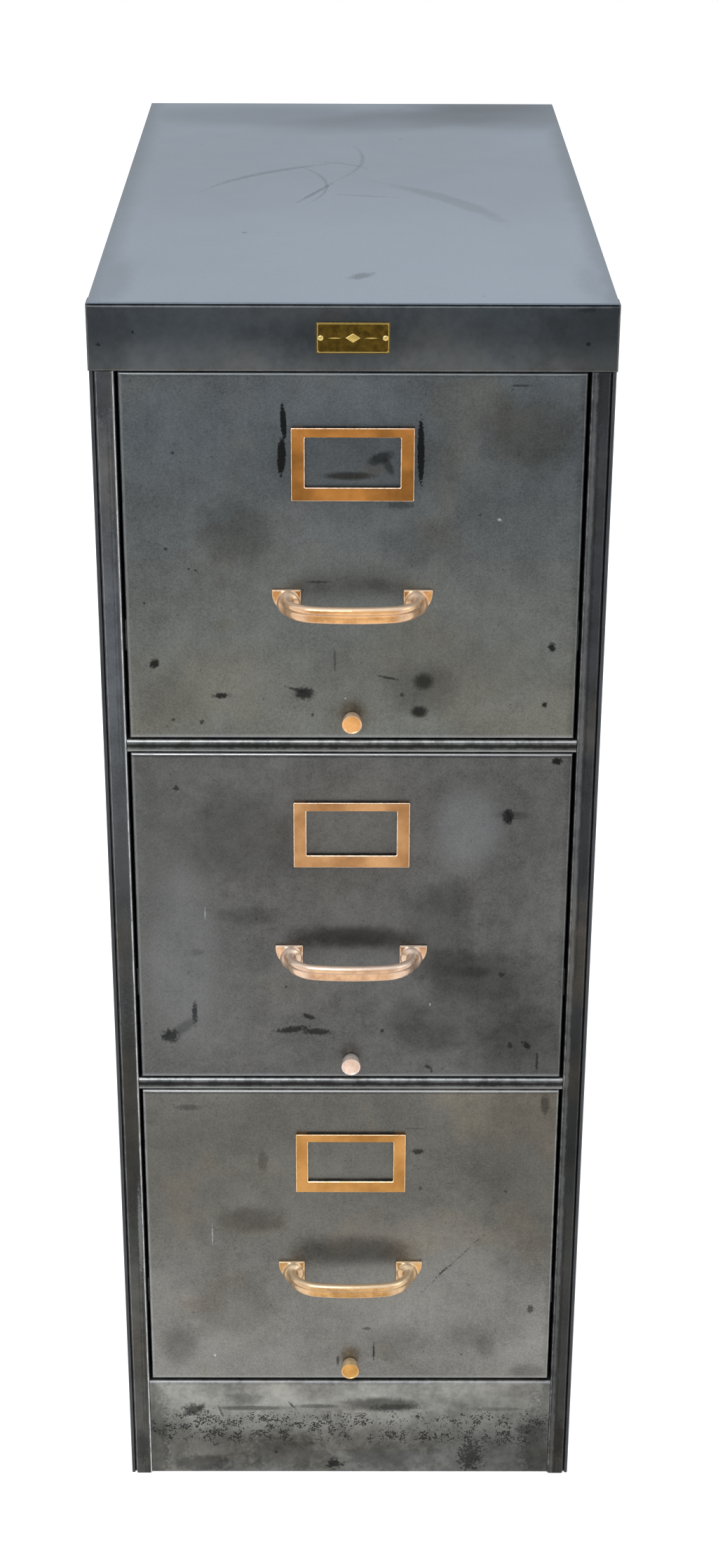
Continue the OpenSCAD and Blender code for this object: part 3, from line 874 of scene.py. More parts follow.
@dataclass(frozen=True)
class SteelFinish:
    """Bare sheet steel with a patina: clouds, blotches, stains, bends brightened by wear and a painted highlight, and
    grain.
    """

    name: str
    low: Rgb
    high: Rgb
    plane: Plane = Plane.FRONT
    fade: Pair = (0.0, 300.0)
    cloud_size: float = 75.0
    clouds: float = 0.16
    blotches: float = 0.12
    warm: Rgb = (98, 88, 72)
    warmth: float = 0.12
    streaks: float = 0.0
    grain: float = 0.10
    specks: float = 0.0
    # Bends turn to the worn colour: worn metal, and a painted highlight on the rounded edges.
    worn: Rgb = (190, 195, 200)
    wear_and_sheen: float = 0.35
    roughness: float = 0.40
    mottle: float = 0.14
    metallic: float = 0.85
    seed: float = 0.0
    marks: tuple[Mark, ...] = ()
    bands: tuple[Band, ...] = ()
    pitted: tuple[float, float, float] | None = None

    def material(self, zero: Vector = ORIGIN) -> Material:
        """Builds the material.

        Args:
            zero: The point of the piece that its marks and bands are measured from.

        Returns:
            The finished material.
        """
        made = bpy.data.materials.new(self.name)
        w = wired(made)
        source = w.node("ShaderNodeTexCoord")
        place = source["Object"]
        parts = w.split(w.vector("SUBTRACT", place, tuple(zero)))
        face = w.joined(*(parts[axis] for axis in self.plane.value))
        clouds = w.group(CLOUDS, Vector=place, Size=self.cloud_size * MM, Seed=self.seed)
        grain = w.group(GRAIN, Vector=place, Size=1.1 * MM)
        broad, fine = clouds["Broad"], clouds["Fine"]
        fade = w.remap(w.split(face)[1], self.fade[0] * MM, self.fade[1] * MM)
        tone = w.plus(w.times(broad, 2 * self.clouds), w.times(fine, 2 * self.blotches))
        tone = w.plus(tone, w.times(grain["Value"], self.grain))
        tone = w.plus(tone, 1.0 - self.clouds - self.blotches - self.grain / 2)
        tone = w.minus(tone, w.times(grain["Specks"], self.specks))
        if self.streaks:
            tone = w.plus(tone, self.streak_tone(w, place))
        colour = w.scaled(w.mix(fade, display(self.low), display(self.high)), tone)
        patches = w.remap(w.noise(w.vector("ADD", place, (self.seed, 0, 1)), 9.0, 3.0, 0.6), 0.48, 0.68)
        warm = w.scaled(display(self.warm)[:3], tone)
        colour = w.mix(w.times(patches, self.warmth), colour, warm)
        dark, brown, bright = (self.stain_mask(w, kind, face, clouds) for kind in Stain)
        colour = w.mix(w.times(brown, 0.75), colour, w.scaled(warm, 0.62))
        # Dark marks and bands: stains and scars, and on some pieces painted shade and shadow.
        colour = w.mix(dark, colour, w.scaled(colour, 0.06))
        if self.pitted:
            colour = self.pit_colour(w, colour, face, place)
        bends = w.group(BENDS, Normal=source["Normal"], Noise=fine)[0]
        # Bends brighten by wear and by a painted highlight; bright marks and bands, some of them painted highlights,
        # add to it.
        bright = w.math("MAXIMUM", w.times(bends, self.wear_and_sheen), bright)
        colour = w.mix(bright, colour, display(self.worn))
        rough = w.plus(w.times(fine, self.mottle), self.roughness - self.mottle / 2)
        rough = w.minus(w.plus(rough, w.times(dark, 0.12)), w.times(bright, 0.12))
        w.metal(colour, rough, self.metallic, grain["Height"], 0.35, 0.12 * MM)
        return made

    def streak_tone(self, w: Wiring, place: Socket) -> Socket:
        """Upright streaks, as a change of tone."""
        drawn = w.vector("MULTIPLY", place, (260.0, 260.0, 7.0))
        return w.times(w.minus(w.remap(w.noise(drawn, 1.0, 3.0, 0.6), 0.3, 0.7), 0.5), 2 * self.streaks)

    def stain_mask(self, w: Wiring, kind: Stain, face: Socket, clouds: Outputs) -> Socket | float:
        """Lays all marks and bands of one kind over each other.

        Args:
            w: Wiring of the material.
            kind: What they do to the colour.
            face: Flat coordinates on the face.
            clouds: Outputs of the clouds, for ragged edges.

        Returns:
            One mask, or 0 where there are none.
        """
        mask: Socket | float = 0.0
        for mark in (m for m in self.marks if m.stain is kind):
            mask = w.group(
                MARK,
                Vector=face,
                Centre=(mark.across * MM, mark.up * MM, 0),
                Half_Length=mark.half_length * MM,
                Half_Width=mark.half_width * MM,
                Turn=math.radians(mark.turn),
                Bend=mark.bend,
                Softness=mark.softness,
                Ragged=mark.ragged * (0.4 if mark.softness > 0.85 else 1.2),
                Noise=clouds["Fine" if mark.half_length > 16 and mark.half_width > 4 else "Torn"],
                Strength=mark.strength,
                Below=mask,
            )[0]
        across, up, _ = w.split(face)
        for band in (b for b in self.bands if b.stain is kind):
            gap = w.math("ABSOLUTE", w.minus(across if band.upright else up, band.place * MM))
            torn = w.times(w.minus(clouds["Fine"], 0.5), band.ragged)
            reach = w.plus(w.math("DIVIDE", gap, band.half_width * MM), torn)
            mask = w.math("MAXIMUM", w.remap(reach, 1.0, 1.0 - band.softness, 0.0, band.strength), mask)
        return mask

    def pit_colour(self, w: Wiring, colour: Socket, face: Socket, place: Socket) -> Socket:
        """Adds rust pits in a level band.

        Args:
            w: Wiring of the material.
            colour: The colour so far.
            face: Flat coordinates on the face.
            place: Object coordinates.

        Returns:
            The colour with its pits.
        """
        middle, half, strength = self.pitted
        gap = w.math("ABSOLUTE", w.minus(w.split(face)[1], middle * MM))
        ragged = w.times(w.minus(w.noise(place, 30.0), 0.5), 0.9)
        amount = w.remap(w.plus(w.math("DIVIDE", gap, half * MM), ragged), 1.1, 0.35)
        pits = w.group(PITS, Vector=place, Size=1.5 * MM, Amount=amount)[0]
        return w.mix(w.times(pits, strength), colour, display((30, 30, 28)))


@dataclass(frozen=True)
class BronzeFinish:
    """Copper-coloured bronze, polished or satin, with darker tarnish, bright edges of wear and painted highlight, and
    a painted highlight on faces that look up.
    """

    name: str
    polished: Rgb
    tarnish: Rgb
    bright: Rgb
    amount: float = 0.5
    spot_size: float = 9.0
    roughness: float = 0.26
    edge: float = 0.6
    dents: float = 0.08
    fine_share: float = 0.35
    # Strength of a painted highlight on faces that look up.
    painted_top_light: float = 0.0
    metallic: float = 1.0
    seed: float = 0.0

    def material(self) -> Material:
        """Builds the material.

        Returns:
            The material.
        """
        made = bpy.data.materials.new(self.name)
        w = wired(made)
        source = w.node("ShaderNodeTexCoord")
        place, normal = source["Object"], source["Normal"]
        clouds = w.group(CLOUDS, Vector=place, Size=self.spot_size * MM, Seed=self.seed)
        grain = w.group(GRAIN, Vector=place, Size=0.7 * MM)
        broad, fine = clouds["Broad"], clouds["Fine"]
        dull = w.plus(w.times(broad, 1 - self.fine_share), w.times(fine, self.fine_share))
        colour = w.mix(w.times(dull, self.amount), display(self.polished), display(self.tarnish))
        # Bends and bevels turn towards the bright colour: wear, and a painted highlight on the rims.
        bends = w.group(BENDS, Normal=normal, Noise=fine)[0]
        colour = w.mix(w.times(bends, self.edge), colour, display(self.bright))
        # Painted highlight: faces that look up turn towards the bright colour, as if lit from above.
        painted_top_light = w.remap(w.split(normal)[2], 0.3, 0.85, 0.0, self.painted_top_light)
        colour = w.mix(painted_top_light, colour, display(self.bright))
        rough = w.plus(w.times(dull, 0.16), self.roughness - 0.06)
        waves = w.noise(w.vector("ADD", place, (self.seed, 0, 0)), 260.0, 2.0, 0.5)
        height = w.plus(waves, w.times(grain["Height"], 0.12))
        w.metal(colour, rough, self.metallic, height, 0.5, self.dents * MM)
        return made


CASE_FINISH = SteelFinish(
    "case_steel", (86, 89, 92), (76, 80, 85), plane=Plane.SIDE, fade=(0, 1000), clouds=0.14, cloud_size=130,
    streaks=0.05, wear_and_sheen=0.07, seed=3,
    # The dark band along the rolled front edge of each side is painted shade that dims the light the roll catches.
    bands=(upright(1.5, 5, 0.52, stain=DARK),),
)
HEADER_FINISH = SteelFinish(
    "header_steel", (74, 77, 79), (53, 58, 62), fade=(0, 30), cloud_size=55, clouds=0.12, wear_and_sheen=0.12, seed=11,
    marks=(
        *marks((0, 22, 46, 20, 0.3), softness=0.9),
        *marks((180, 24, 46, 40, 0.34), (-190, 24, 26, 40, 0.2), softness=0.95),
        *marks((166, 45, 6, 2, 0.4)),
        *dots((-157, 28, 0.9), (-182, 19, 1.4), (168, 20, 1.2), strength=0.8),
    ),
    bands=(Band(0.9, 1, 0.5, ragged=1.2, stain=BROWN),),
)
# The top gets lighter, bluer steel than the case: a painted reflection of a bright ceiling on the upward face.
TOP_SKYLIT_FINISH = SteelFinish(
    "top_steel", (126, 139, 153), (111, 125, 140), plane=Plane.TOP, fade=(0, 760), cloud_size=240, clouds=0.06,
    blotches=0.015, warmth=0, wear_and_sheen=0, roughness=0.4, mottle=0.03, seed=21,
    marks=(
        *marks((-75, 415, 62, 3.6, 0.3, 42, -2.4), (-30, 345, 36, 1.8, 0.42, 68),
            (-22, 380, 70, 1.4, 0.26, 96, 4), (8, 455, 60, 1.8, 0.22, 84, 3), (-8, 452, 26, 1.6, 0.28, -28, -9),
            (80, 318, 76, 8, 0.2, -55, -1.5), (10, 332, 22, 1.8, 0.24, -12)),
        *marks((6, 76, 11, 6, 0.42, 50), softness=0.9, ragged=1.4),
        *marks((60, 640, 120, 40, 0.24, 20), (-80, 655, 120, 44, 0.22), (160, 670, 110, 70, 0.36),
            (120, 700, 60, 26, 0.2), (-178, 60, 16, 60, 0.18), (178, 60, 14, 50, 0.16), softness=0.95),
        *dots((43, 552, 1.6), (-134, 525, 1), (-84, 207, 2), (-57, 208, 1), (94, 20, 1.2), strength=0.4),
    ),
    bands=(upright(-190, 20, 0.26, softness=0.95, stain=DARK),
        upright(190, 20, 0.3, softness=0.95, stain=DARK), Band(0.4, 1, 0.45, ragged=0.4, stain=DARK)),
)
LEFT_POST_FINISH = SteelFinish(
    "left_post_steel", (70, 70, 68), (78, 81, 85), fade=(300, 800), cloud_size=60, clouds=0.2, blotches=0.12,
    streaks=0.04, warmth=0.25, grain=0.2, wear_and_sheen=0.2, worn=(225, 228, 230), roughness=0.38, seed=31,
    marks=(
        *marks((-180, 30, 7, 16, 0.5), (-180, 975, 9, 22, 0.45)),
        *marks((-178, 560, 11, 110, 0.4), (-178, 370, 11, 120, 0.56), softness=0.95),
        *marks((-175, 250, 1.5, 40, 0.12), stain=BRIGHT),
    ),
    # Up the inner bend: a bright line of wear and painted highlight, and beside it a band of painted shade that dims
    # the bend's reflection.
    bands=(upright(-172.4, 0.9, 0.62, ragged=0.7), upright(-174.6, 1.7, 0.34, ragged=0.6, stain=DARK),
        upright(-177.4, 1, 0.28, ragged=0.8, stain=DARK)),
)
RIGHT_POST_FINISH = SteelFinish(
    "right_post_steel", (48, 48, 46), (46, 48, 51), fade=(0, 800), cloud_size=60, clouds=0.2, blotches=0.12,
    streaks=0.04, warmth=0.25, grain=0.2, wear_and_sheen=0.05, worn=(225, 228, 230), roughness=0.38, seed=36,
    marks=(
        *marks((180, 34, 6, 20, 0.55), (180, 970, 9, 26, 0.3), (181, 620, 3, 50, 0.3)),
        *marks((171, 120, 5, 150, 0.5), (180, 390, 9, 110, 0.45), softness=0.95),
    ),
    # The dark band at 171 mm up the inner bend is painted shade.
    bands=(upright(172.3, 0.6, 0.22, ragged=1.6), upright(174.8, 2.2, 0.06, ragged=0.8),
        upright(171, 2.4, 0.5, ragged=0.5, stain=DARK), upright(178, 1.6, 0.4, ragged=0.8, stain=DARK)),
)
RAIL_FINISH = SteelFinish(
    "rail_steel", (96, 97, 94), (88, 90, 90), fade=(0, 10), cloud_size=45, clouds=0.22, blotches=0.2, wear_and_sheen=0.8,
    worn=(176, 179, 180), seed=41,
    # Across the flat of the face, a near-black band of painted shade stands in for the dark reflection of a rounded
    # rail; low on the lower bend, a painted highlight.
    bands=(Band(5.2, 3.1, 0.92, stain=DARK), Band(1.6, 0.6, 0.3, ragged=0.4)),
)
BASE_FINISH = SteelFinish(
    "base_steel", (97, 98, 95), (134, 134, 129), fade=(34, 84), cloud_size=42, clouds=0.26, blotches=0.2,
    warm=(112, 100, 80), warmth=0.18, wear_and_sheen=0.5, worn=(168, 171, 178), roughness=0.42, seed=51,
    pitted=(48, 26, 0.92),
    marks=(
        *marks((-135, 67, 8, 6, 0.8), (-128, 70, 5, 2, 0.6, 50), (38, 70, 18, 3, 0.6), (125, 68, 22, 2, 0.35),
            (-92, 79, 16, 6, 0.3), (-40, 64, 34, 8, 0.2), (-128, 10, 22, 8, 0.5), (-55, 22, 34, 17, 0.38),
            (32, 16, 38, 14, 0.3), (-150, 40, 12, 26, 0.3), (162, 30, 12, 44, 0.5), (-166, 40, 9, 50, 0.45),
            (150, 46, 6, 5, 0.4), (-64, 22, 1.6, 1.6, 0.7), (-50, 72, 1, 6, 0.7, 38), (-111, 65, 1, 6, 0.6, 20)),
        *marks((-85, 69, 26, 2.4, 0.6), (-28, 71, 17, 2.2, 0.55), (28, 73, 32, 7, 0.72), softness=0.9),
        *marks((105, 18, 9, 14, 0.7), ragged=1.2),
        *marks((-13, 9, 6, 4.5, 0.9), ragged=0.9),
        *marks((10, 36, 70, 14, 0.3), (-100, 30, 60, 16, 0.25), stain=BROWN),
        *marks((140, 60, 70, 60, 0.22), softness=0.95),
    ),
    # The dark bands up each end, beside the posts, are painted shadow where the plate is set back.
    bands=(upright(169, 12, 0.5, softness=0.95, stain=DARK), Band(96, 4, 0.2, stain=DARK),
        upright(-169, 9, 0.5, softness=0.95, stain=DARK)),
)
TOP_FRONT_FINISH = SteelFinish(
    "top_front_steel", (95, 96, 92), (74, 79, 82), fade=(20, 250), cloud_size=95, clouds=0.15, blotches=0.12,
    streaks=0.02, grain=0.34, specks=0.4, warm=(96, 86, 66), warmth=0.2, wear_and_sheen=0.15, seed=61,
    marks=(
        *marks((-50.3, 249, 13.5, 2.2, 1, 93), (-51.8, 223, 14.5, 3.1, 1, 88), softness=0.3, ragged=0.3),
        *marks((49.6, 227, 24.5, 2.5, 1, 90.5), softness=0.25, ragged=0.3),
        *marks((-3, 208.6, 17, 3, 0.72), (20, 222, 9, 4.2, 0.75, 22), (26, 216, 7, 2.8, 0.62, -62),
            (51, 21, 6, 4.6, 0.92), softness=0.9),
        *marks((1, 18, 14, 13, 0.5), (130, 238, 30, 24, 0.3), softness=0.95, stain=BROWN),
        *marks((12, 211, 12, 4, 0.4, 20), (-4, 208, 10, 2, 0.5), (-95, 92, 7, 5, 0.3), (-80, 150, 40, 34, 0.18),
            stain=BROWN),
        *marks((0, 216, 64, 34, 0.22), (62, 62, 84, 34, 0.18), (130, 244, 36, 30, 0.28), (-88, 165, 28, 24, 0.26),
            (48, 157, 26, 18, 0.2), (54, 46, 7, 6.5, 0.8), (52, 39, 24, 20, 0.3), (-138, 29, 24, 20, 0.18),
            softness=0.95),
        *marks((-25, 126, 8, 1, 0.55), (-149, 60, 3.2, 4, 0.95, -30), (-99, 34, 6, 2, 0.93, 4),
            (-42, 39, 8, 1.2, 0.68, -18), (27, 49, 8, 1, 0.68, -12), (150, 74, 2.6, 3.4, 0.97),
            (146, 27, 2, 2, 0.97), (-13, 62, 0.8, 9, 0.42), (120, 277, 7, 0.8, 0.61), (35, 186, 9, 3, 0.49)),
        *marks((-36, 36, 7, 5, 0.9), softness=0.95, ragged=1.2),
        *dots((-136, 14, 1.5), (-114, 12, 1.8), (38, 35, 1.5), (-131, 226, 1.2), (-138, 152, 1.3), (-121, 136, 1),
            (-116, 135, 1), (-30, 18, 1.2), (-155, 109, 1)),
        *marks((108, 175, 1.4, 1, 0.4), (-5, 32, 0.9, 0.4, 0.5, 40), stain=BRIGHT),
    ),
    bands=edge_highlight_bands(0.2, 0.16),
)
MIDDLE_FRONT_FINISH = SteelFinish(
    "middle_front_steel", (87, 87, 86), (82, 82, 81), fade=(0, 280), cloud_size=95, clouds=0.17, blotches=0.17,
    streaks=0.02, grain=0.32, specks=0.4, warm=(104, 96, 78), warmth=0.06, wear_and_sheen=0.15, seed=74,
    marks=(
        *marks((157, 280, 3.8, 3, 0.97), (121, 233, 4.2, 6, 0.97), (-125, 58, 2, 10, 0.97),
            (-145, 37, 6.5, 5.6, 0.97), (-47, 43, 12, 2.8, 0.8, 8), (-28, 41, 11, 2.8, 0.8, -3),
            (-34, 55, 5, 2, 0.83, -25), (119.3, 93.4, 2.4, 2.4, 0.66), (141.5, 28.5, 3.6, 2.4, 0.9, -45),
            (150, 13, 1, 9, 0.75), (62, 8.6, 2.6, 1.5, 0.7, -40), (65, 5.4, 1, 2.2, 0.6), (-122, 113, 5, 3, 0.3)),
        *marks((124, 234, 14, 3.4, 0.35), (-85, 213, 48, 40, 0.32), (145, 14, 50, 36, 0.34),
            (95, 60, 50, 46, 0.22), (68, 133, 26, 40, 0.32), (105, 90, 40, 22, 0.32), (78, 163, 20, 15, 0.25),
            # (2, 127, 44, 9, 0.62) is a painted shadow above the pull's grip, with patina.
            (98, 96, 12, 5, 0.45), (78, 102, 22, 14, 0.3), (2, 127, 44, 9, 0.62), (-82, 146, 22, 8, 0.25),
            (-134, 45, 13, 4.2, 0.45, 38), (45, 54, 16, 15, 0.3), (62, 36, 24, 14, 0.26), (138, 44, 30, 28, 0.26),
            (-150, 200, 14, 60, 0.1), softness=0.95),
        *dots((-135, 257, 2.2), (25, 42, 1.6), (128, 29, 2.4), (137.5, 31, 1), (-52, 82, 1)),
        *marks((90, 223, 24, 30, 0.08), softness=0.95, stain=BRIGHT),
        *marks((-135, 110, 26, 70, 0.05), (63, 66, 0.35, 1.3, 0.6), (-115, 148, 0.5, 5, 0.25), stain=BRIGHT),
        *marks((0, 218, 60, 60, 0.2), softness=0.95, stain=BROWN),
        *marks((-50, 84, 20, 10, 0.2), stain=BROWN),
    ),
    bands=edge_highlight_bands(0.24, 0.5),
)
BOTTOM_FRONT_FINISH = SteelFinish(
    "bottom_front_steel", (118, 117, 113), (93, 92, 87), fade=(30, 210), cloud_size=95, clouds=0.13,
    blotches=0.12, streaks=0.02, grain=0.32, specks=0.4, warm=(118, 106, 88), warmth=0.3, seed=88,
    marks=(
        *marks((152, 210, 46, 100, 0.24), (-140, 205, 50, 60, 0.16), (-82, 161, 28, 12, 0.34),
            # (2, 130, 48, 14, 0.42) is a painted shadow above the pull's grip, with patina.
            (-98, 76, 34, 32, 0.16), (-145, 33, 14, 18, 0.34), (2, 130, 48, 14, 0.42), (35, 36, 24, 17, 0.2),
            (98, 43, 18, 10, 0.2), (115, 33, 8, 11, 0.28), (152, 6, 16, 8, 0.34), (0, 250, 170, 30, 0.1),
            softness=0.95),
        *marks((55, 228, 4.6, 2.6, 0.8), (-72, 218, 4, 10, 0.33), (152, 71, 2.6, 4, 0.68), (14, 51, 3, 1.6, 0.55),
            (20, 26, 0.9, 8.5, 0.8), (-10.5, 18, 1.2, 5, 0.68), (-132, 270, 9, 2.6, 0.42),
            (158, 273, 3.4, 9, 0.55), (52, 250, 8, 0.7, 0.33)),
        *marks((86, 118, 26, 0.5, 0.45, 48.7), ragged=1.8),
        *marks((78, 110, 6, 0.8, 0.7, 48), ragged=1.2),
        *marks((-82, 158, 34, 16, 0.3), softness=0.95, stain=BROWN),
        *marks((-95, 70, 40, 36, 0.2), (110, 210, 40, 70, 0.12), stain=BROWN),
        *dots((57, 192, 1.6), (128, 189, 1.2), (-67, 75, 1), (95, 24, 1), strength=0.5),
        *marks((-115, 146, 0.5, 9, 0.35), (-115, 23, 1, 1, 0.6), stain=BRIGHT),
    ),
    bands=edge_highlight_bands(0.2, 0.4),
)
INNER_FINISH = SteelFinish("inner_steel", (92, 94, 95), (98, 100, 101), clouds=0.16, cloud_size=90, streaks=0.04,
    wear_and_sheen=0.3, roughness=0.48, metallic=0.8, seed=5)
SLIDE_FINISH = SteelFinish("slide_steel", (128, 130, 131), (128, 130, 131), clouds=0.12, cloud_size=40, wear_and_sheen=0.4,
    roughness=0.34, seed=6)
ROLLER_FINISH = SteelFinish("roller_steel", (168, 168, 166), (168, 168, 166), clouds=0.08, cloud_size=12,
    wear_and_sheen=0.2, roughness=0.28, seed=7)
SCREW_FINISH = SteelFinish("screw_steel", (150, 150, 147), (150, 150, 147), clouds=0.1, cloud_size=8, wear_and_sheen=0.4,
    roughness=0.32, seed=8)
ROD_FINISH = SteelFinish("rod_steel", (170, 168, 162), (170, 168, 162), clouds=0.1, cloud_size=30, wear_and_sheen=0,
    roughness=0.26, seed=9)
POST_FINISHES = {"left": LEFT_POST_FINISH, "right": RIGHT_POST_FINISH}
FRONT_FINISHES = {"top": TOP_FRONT_FINISH, "middle": MIDDLE_FRONT_FINISH, "bottom": BOTTOM_FRONT_FINISH}


def bronzes(
    fitting: str, seed: float, look: dict[str, float], **colours: tuple[Rgb, Rgb, Rgb]
) -> dict[str, BronzeFinish]:
    """The finish of one fitting on each drawer.

    Args:
        fitting: Its name.
        seed: Seed of the first one. The others count up from it.
        look: What they share.
        colours: Polished, tarnished and bright colour on each drawer.

    Returns:
        A finish for each drawer.
    """
    return {
        level: BronzeFinish(f"{level}_{fitting}_bronze", *three, seed=seed + k, **look)
        for k, (level, three) in enumerate(colours.items())
    }


SATIN = {"dents": 0.004, "edge": 1.0, "spot_size": 34.0, "fine_share": 0.2, "amount": 0.9}
# Cast fittings get a painted highlight on their upward faces.
CAST = {"roughness": 0.2, "painted_top_light": 0.5, "amount": 0.9, "spot_size": 12.0, "metallic": 0.5, "edge": 0.35}
FRAME_FINISHES = bronzes(
    "frame", 1.0, SATIN,
    top=((164, 110, 55), (106, 70, 32), (255, 228, 204)),
    middle=((178, 136, 94), (130, 90, 54), (255, 234, 214)),
    bottom=((180, 132, 76), (138, 94, 46), (255, 228, 190)),
)
PULL_FINISHES = bronzes(
    "pull", 4.0, CAST,
    top=((226, 172, 112), (158, 104, 46), (255, 236, 214)),
    middle=((226, 184, 144), (160, 116, 78), (255, 240, 228)),
    bottom=((218, 170, 106), (150, 104, 48), (255, 236, 206)),
)
KNOB_FINISHES = bronzes(
    "knob", 7.0, CAST,
    top=((222, 164, 98), (164, 108, 48), (255, 240, 220)),
    middle=((240, 216, 198), (190, 158, 138), (255, 250, 246)),
    bottom=((222, 168, 88), (168, 116, 46), (255, 238, 200)),
)
PLATE_FINISH = BronzeFinish("nameplate_brass", (86, 68, 25), (34, 26, 9), (226, 206, 130), seed=10.0, edge=0.9,
                            amount=0.8, spot_size=5.0, roughness=0.32, dents=0.05)
RIM_FINISH = BronzeFinish("nameplate_rim", (188, 162, 92), (124, 102, 46), (245, 230, 170), seed=12.0, amount=0.5,
                          spot_size=4.0, roughness=0.28, dents=0.03)


# --- Repeated pieces by geometry nodes ---


class Sprout(Enum):
    """What grows on each point."""

    RIVET = "rivet head"
    WELD = "spot weld"


class Scatter:
    """Geometry node trees that put a rivet head or a spot weld on each point of a mesh."""

    def __init__(self) -> None:
        """Builds one tree for each kind."""
        self.trees = {kind: self.tree(kind) for kind in Sprout}

    def tree(self, kind: Sprout) -> Tree:
        """A tree with named inputs for radius, height and material.

        Args:
            kind: What the tree puts on each point.

        Returns:
            The tree.
        """
        tree = bpy.data.node_groups.new(f"{kind.value} on points", "GeometryNodeTree")
        tree.is_modifier = True
        takes = {"Geometry": GEOMETRY, "Radius": FLOAT, "Height": FLOAT, "Material": "NodeSocketMaterial"}
        for name, socket in takes.items():
            tree.interface.new_socket(name=name, in_out="INPUT", socket_type=socket)
        tree.interface.new_socket(name="Geometry", in_out="OUTPUT", socket_type=GEOMETRY)
        w = Wiring(tree)
        given = w.node("NodeGroupInput")
        shape = self.dome(w, given) if kind is Sprout.RIVET else self.weld(w, given)
        facing = w.node("GeometryNodeInputNamedAttribute", data_type="FLOAT_VECTOR", Name="facing")["Attribute"]
        turn = w.node("FunctionNodeAlignRotationToVector", axis="Z", Vector=facing)["Rotation"]
        copies = w.node("GeometryNodeInstanceOnPoints", Points=given["Geometry"], Instance=shape, Rotation=turn)[0]
        real = w.node("GeometryNodeRealizeInstances", Geometry=copies)[0]
        soft = w.node("GeometryNodeSetShadeSmooth", Geometry=real)[0]
        painted = w.node("GeometryNodeSetMaterial", Geometry=soft, Material=given["Material"])[0]
        w.node("NodeGroupOutput", Geometry=painted)
        return tree

    @staticmethod
    def dome(w: Wiring, given: Outputs) -> Socket:
        """A flattened ball, half of which sinks into the sheet.

        Args:
            w: Wiring of the tree.
            given: Inputs of the tree.

        Returns:
            The mesh of one copy.
        """
        ball = w.node("GeometryNodeMeshUVSphere", Segments=20, Rings=10, Radius=1.0)["Mesh"]
        scale = w.joined(given["Radius"], given["Radius"], given["Height"])
        return w.node("GeometryNodeTransform", Geometry=ball, Scale=scale)[0]

    @staticmethod
    def weld(w: Wiring, given: Outputs) -> Socket:
        """The raised ring that a welding electrode leaves.

        Args:
            w: Wiring of the tree.
            given: Inputs of the tree.

        Returns:
            The mesh of one copy.
        """
        thick = w.times(given["Radius"], 0.3)
        loop = w.node("GeometryNodeCurvePrimitiveCircle", Resolution=20, Radius=given["Radius"])[0]
        section = w.node("GeometryNodeCurvePrimitiveCircle", Resolution=6, Radius=thick)[0]
        swept = w.node("GeometryNodeCurveToMesh", Curve=loop, Profile_Curve=section)[0]
        scale = w.joined(1.0, 1.0, w.math("DIVIDE", given["Height"], thick))
        return w.node("GeometryNodeTransform", Geometry=swept, Scale=scale)[0]

    def grow(
        self, kind: Sprout, name: str, places: Sequence[tuple[Vector, Vector]], radius: float, height: float,
        material: Material,
    ) -> Piece:
        """Makes one plain mesh of all the copies.

        Args:
            kind: What to put on each point.
            name: Name of the piece.
            places: Points, each with the direction that its copy faces.
            radius: Radius of a copy.
            height: How far a copy stands out.
            material: Its material.

        Returns:
            The piece, with no modifier left on it.
        """
        seeds = mesh_piece(name, [p for p, _ in places], [])
        facing = seeds.data.attributes.new("facing", "FLOAT_VECTOR", "POINT")
        facing.data.foreach_set("vector", [c for _, way in places for c in way])
        tree = self.trees[kind]
        tool = seeds.modifiers.new("copies", "NODES")
        tool.node_group = tree
        sockets = {s.name: s.identifier for s in tree.interface.items_tree if s.in_out == "INPUT"}
        for socket, value in (("Radius", radius), ("Height", height), ("Material", material)):
            tool[sockets[socket]] = value
        settle(seeds)
        return seeds


SCATTER = Scatter()


def finish_piece(
    piece: Piece, body: str, nodes: Sequence[str] = (), material: Material | None = None
) -> None:
    """Gives a piece its material, body and the nodes that it stands for, and reports it.

    Args:
        piece: The piece, with its final mesh.
        body: The body that it rides on.
        nodes: Nodes of the frame that it stands for.
        material: Its material, unless its mesh has one already.
    """
    if material is not None:
        piece.data.materials.clear()
        piece.data.materials.append(material)
    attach(piece, body)
    if nodes:
        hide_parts(*nodes)
    LOG.info("%s: %d faces on %s", piece.name, len(piece.data.polygons), body)


def repaint(material: Material, *nodes: str) -> None:
    """Gives nodes of the frame a better material, and leaves their shape alone.

    Args:
        material: The material.
        nodes: Names of the nodes.
    """
    for node in nodes:
        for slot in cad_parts[node].material_slots:
            slot.material = material
        LOG.info("%s: repainted with %s", node, material.name)


# --- Case ---


